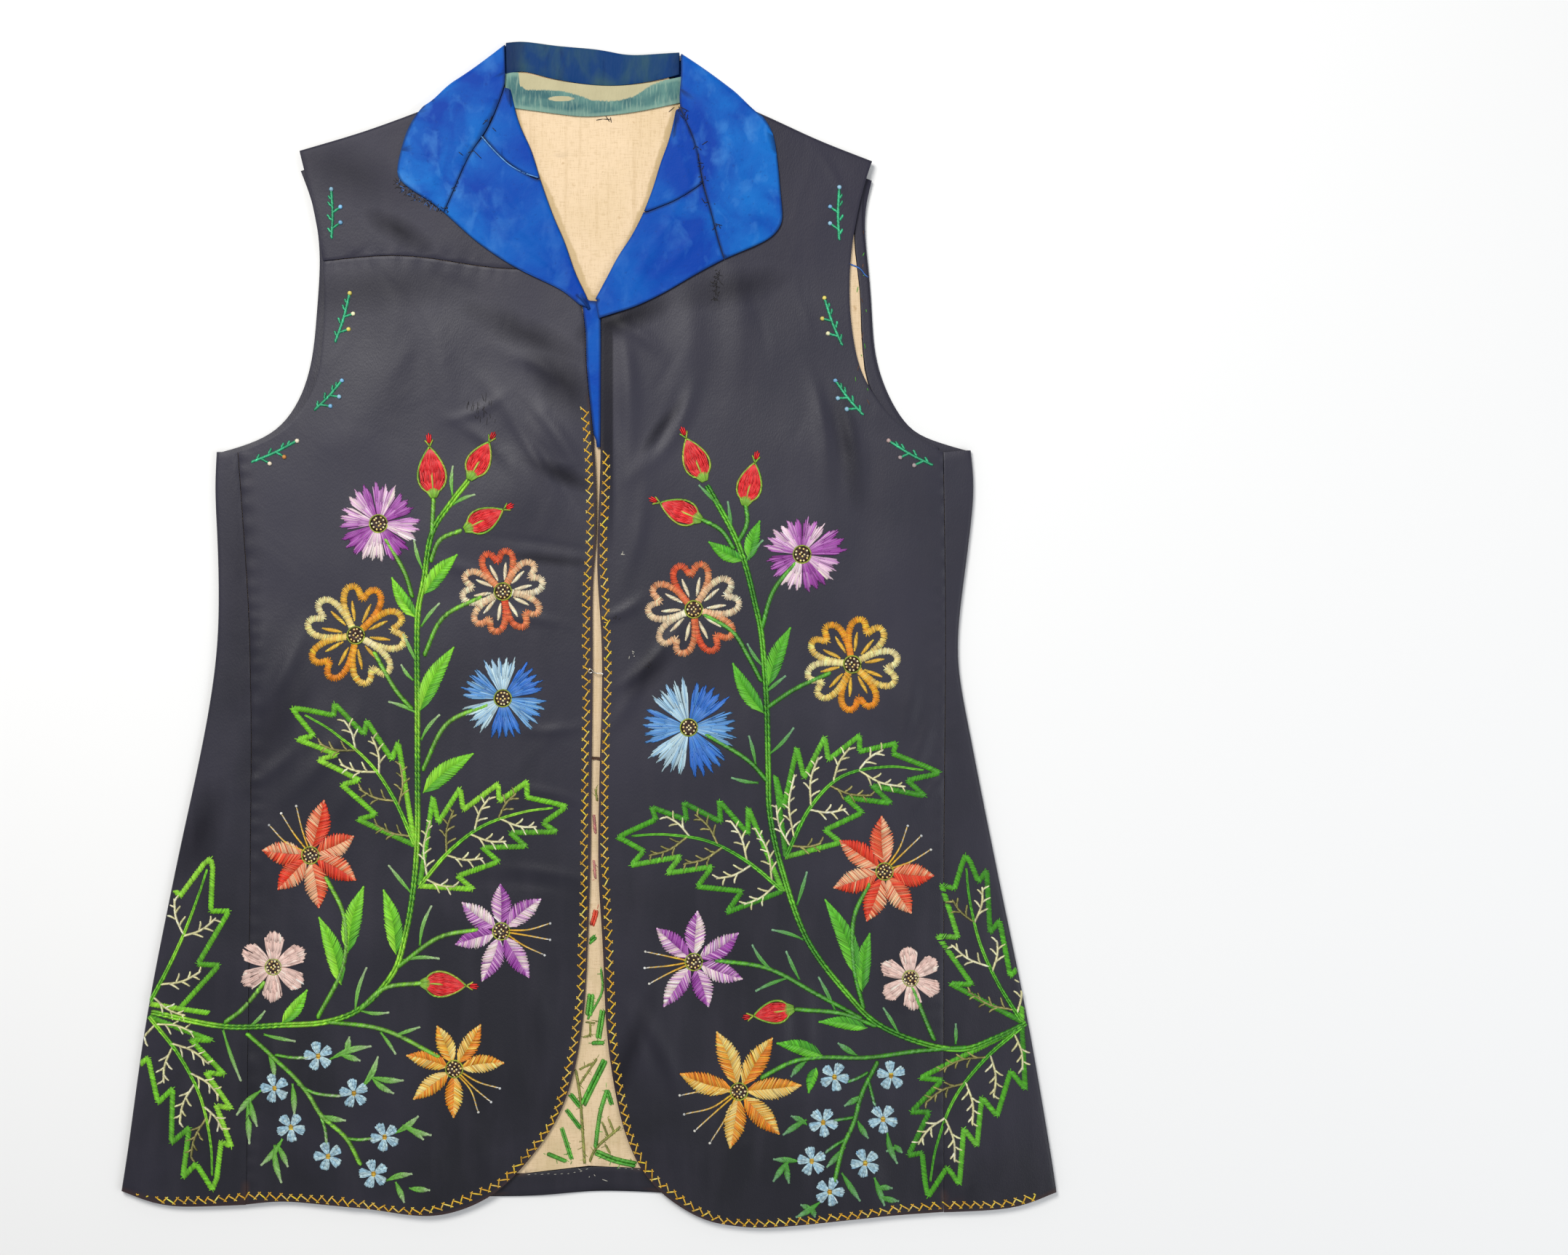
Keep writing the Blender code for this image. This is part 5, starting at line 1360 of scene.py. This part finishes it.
def linen_look():
    """Plain cream linen, tan in a band along the edges of the V at the neck, with the weave's two directions.
    """
    look, tree, shader, place = new_look("cream_linen", 0.85)
    stain = ramp(tree, noise(tree, place, 18.0, 6.0, distortion=0.5), 0.46, 0.8)
    colour = mix(tree, times(tree, stain, 0.5), rgb(226, 200, 164), rgb(206, 180, 134))
    foxing = ramp(tree, noise(tree, place, 160.0, 3.0), 0.68, 0.76)
    colour = mix(tree, times(tree, foxing, 0.5), colour, rgb(170, 134, 86))
    # A tan band along the edges of the V at the neck, with an uneven inner edge
    uneven = times(tree, noise(tree, place, 60.0, 4.0), 6.0)
    tan_band = ramp(tree, added(tree, attribute(tree, "Line"), uneven), 7.4, 6.2)
    colour = mix(tree, times(tree, tan_band, 0.55), colour, rgb(172, 146, 92))
    warp = noise(tree, place, 1.0, 2.0, (1500, 160, 1))
    weft = noise(tree, place, 1.0, 2.0, (160, 1500, 1))
    weave = added(tree, warp, weft)
    colour = mix(tree, times(tree, ramp(tree, weave, 1.0, 0.75), 0.35), colour, rgb(178, 150, 104))
    streaks = ramp(tree, noise(tree, place, 1.0, 3.0, (300, 12, 1)), 0.54, 0.7)
    colour = mix(tree, times(tree, streaks, 0.2), colour, rgb(176, 146, 98))
    soiled = ramp(tree, object_part(tree, place, 1), -0.04, -0.16)
    blotches = ramp(tree, noise(tree, place, 44.0, 6.0, distortion=0.6), 0.42, 0.66)
    soiled = added(tree, soiled, blotches, "MULTIPLY")
    colour = mix(tree, times(tree, soiled, 0.4), colour, rgb(186, 168, 122))
    tree.links.new(colour, shader.inputs["Base Color"])
    rumple = bumped(tree, shader, noise(tree, place, 80.0, 5.0), 0.0014, 0.4)
    bumped(tree, shader, weave, 0.0003, 0.6, rumple)
    return look


def teal_look():
    """Blue-green silk worn through along its top and in a long hole, where its cream interlining shows."""
    look, tree, shader, place = new_look("teal_silk", 0.6)
    shader.inputs["Specular IOR Level"].default_value = 0.2
    upright = noise(tree, place, 1.0, 5.0, (900, 90, 1))
    bloom = ramp(tree, noise(tree, place, 60.0, 6.0, distortion=0.6), 0.36, 0.66)
    silk = mix(tree, bloom, rgb(52, 96, 100), rgb(96, 138, 128))
    silk = mix(tree, times(tree, ramp(tree, upright, 0.5, 0.7), 0.6), silk, rgb(142, 168, 150))
    rubbed = ramp(tree, attribute(tree, "NearRim"), 0.3, 0.7)
    silk = mix(tree, times(tree, rubbed, 0.6), silk, rgb(126, 158, 142))
    bare = mix(tree, noise(tree, place, 70.0, 5.0), rgb(192, 184, 146), rgb(162, 154, 120))
    frayed = added(tree, times(tree, upright, 2.6), -1.3)
    below = ramp(tree, added(tree, attribute(tree, "Line"), frayed), -0.4, 0.4)
    inputs = {"Vector": place, "Location": HOLE_SHIFT, "Scale": HOLE_SCALE}
    hole = put(tree, "ShaderNodeMapping", inputs).outputs[0]
    far = put(tree, "ShaderNodeVectorMath", {0: hole}, operation="LENGTH").outputs["Value"]
    whole = ramp(tree, added(tree, far, times(tree, frayed, 0.25)), 0.9, 1.1)
    tree.links.new(mix(tree, added(tree, below, whole, "MULTIPLY"), bare, silk), shader.inputs["Base Color"])
    bumped(tree, shader, noise(tree, place, 260.0, 5.0, (2.0, 0.6, 1)), 0.0008, 0.6)
    return look


def floss_look():
    """Embroidery silk: each stitch has its own colour and fine filaments along it."""
    look, tree, shader, _ = new_look("floss", 0.45)
    colour = put(tree, "ShaderNodeAttribute", attribute_name="Floss").outputs["Color"]
    along = put(tree, "ShaderNodeTexCoord").outputs["UV"]
    filament = noise(tree, along, 1.0, 2.0, (2.0, 14.0, 1), 0.12)
    shade = put(tree, "ShaderNodeMapRange", {"Value": filament, "To Min": 0.68, "To Max": 1.0}).outputs[0]
    shaded = put(tree, "ShaderNodeVectorMath", {0: colour, "Scale": shade}, operation="SCALE").outputs[0]
    tree.links.new(shaded, shader.inputs["Base Color"])
    bumped(tree, shader, filament, 0.0001, 0.5)
    return look


def wire_look():
    look, _, shader, _ = new_look("wire", 0.3)
    shader.inputs["Metallic"].default_value = 1.0
    shader.inputs["Base Color"].default_value = rgb(200, 198, 192)
    return look


# What stands round it


def area_light(name, place, aim, size, power, colour=(1, 1, 1)):
    lamp = bpy.data.lights.new(name, "AREA")
    lamp.shape, lamp.size, lamp.energy, lamp.color = "DISK", size, power, colour
    light = bpy.data.objects.new(name, lamp)
    light.location = place
    light.rotation_euler = (Vector(aim) - Vector(place)).to_track_quat("-Z", "Y").to_euler()
    bpy.context.scene.collection.objects.link(light)


FLOOR_HALF = 3.0
WORLD_STRENGTH, WINDOW_POWER, FILL_POWER = 0.45, 26, 8


def studio():
    floor_mesh = bpy.data.meshes.new("floor")
    corners = [(x * FLOOR_HALF, y * FLOOR_HALF, 0) for x, y in ((-1, -1), (1, -1), (1, 1), (-1, 1))]
    floor_mesh.from_pydata(corners, [], [(0, 1, 2, 3)])
    floor = bpy.data.objects.new("floor", floor_mesh)
    floor.location.z = -0.0002
    bpy.context.scene.collection.objects.link(floor)
    pale = bpy.data.materials.new("pale_floor")
    pale.use_nodes = True
    pale.node_tree.nodes["Principled BSDF"].inputs["Base Color"].default_value = (0.86, 0.86, 0.85, 1)
    pale.node_tree.nodes["Principled BSDF"].inputs["Roughness"].default_value = 0.9
    floor_mesh.materials.append(pale)
    world = bpy.data.worlds.new("studio")
    world.use_nodes = True
    world.node_tree.nodes["Background"].inputs["Color"].default_value = (0.94, 0.96, 1.0, 1)
    world.node_tree.nodes["Background"].inputs["Strength"].default_value = WORLD_STRENGTH
    bpy.context.scene.world = world
    area_light("window", (-0.5, 0.95, 1.5), (-0.05, 0.05, 0), 0.8, WINDOW_POWER, (1.0, 0.98, 0.95))
    area_light("fill", (1.25, -0.4, 1.2), (0, 0, 0), 1.0, FILL_POWER, (0.93, 0.96, 1.0))
    lens = bpy.data.cameras.new("camera")
    lens.lens, lens.sensor_width = CAMERA_LENS, 36.0
    camera = bpy.data.objects.new("camera", lens)
    camera.location = (*CAMERA_PLACE, CAMERA_HEIGHT)
    bpy.context.scene.collection.objects.link(camera)
    bpy.context.scene.camera = camera
    bpy.context.scene.view_settings.view_transform = "Standard"


def main():
    looks = {
        "black_satin": satin_look(), "blue_silk": silk_look(), "cream_linen": linen_look(),
        "teal_silk": teal_look(), "collar_band": worn_silk_look(),
    }
    rows = rows_of(CLOTH_COLUMNS, CLOTH)
    cloth = {row["node"]: lay_cloth(row, looks.get(row["node"], looks[row["slot"]])) for row in rows}
    ground = Ground(cloth.values())
    floss = floss_look()
    works = [*flowers_of(-1), *flowers_of(1), *greenery_of(-1), *greenery_of(1)]
    works += [*edge_sewing(), inside_sewing()]
    for work in works:
        sewn(work, ground, floss)
    hook = merged_copy("hook", 1)
    hook.data.shade_smooth()
    hook.data.materials.append(wire_look())
    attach(hook, "root")
    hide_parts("hook")
    studio()


main()
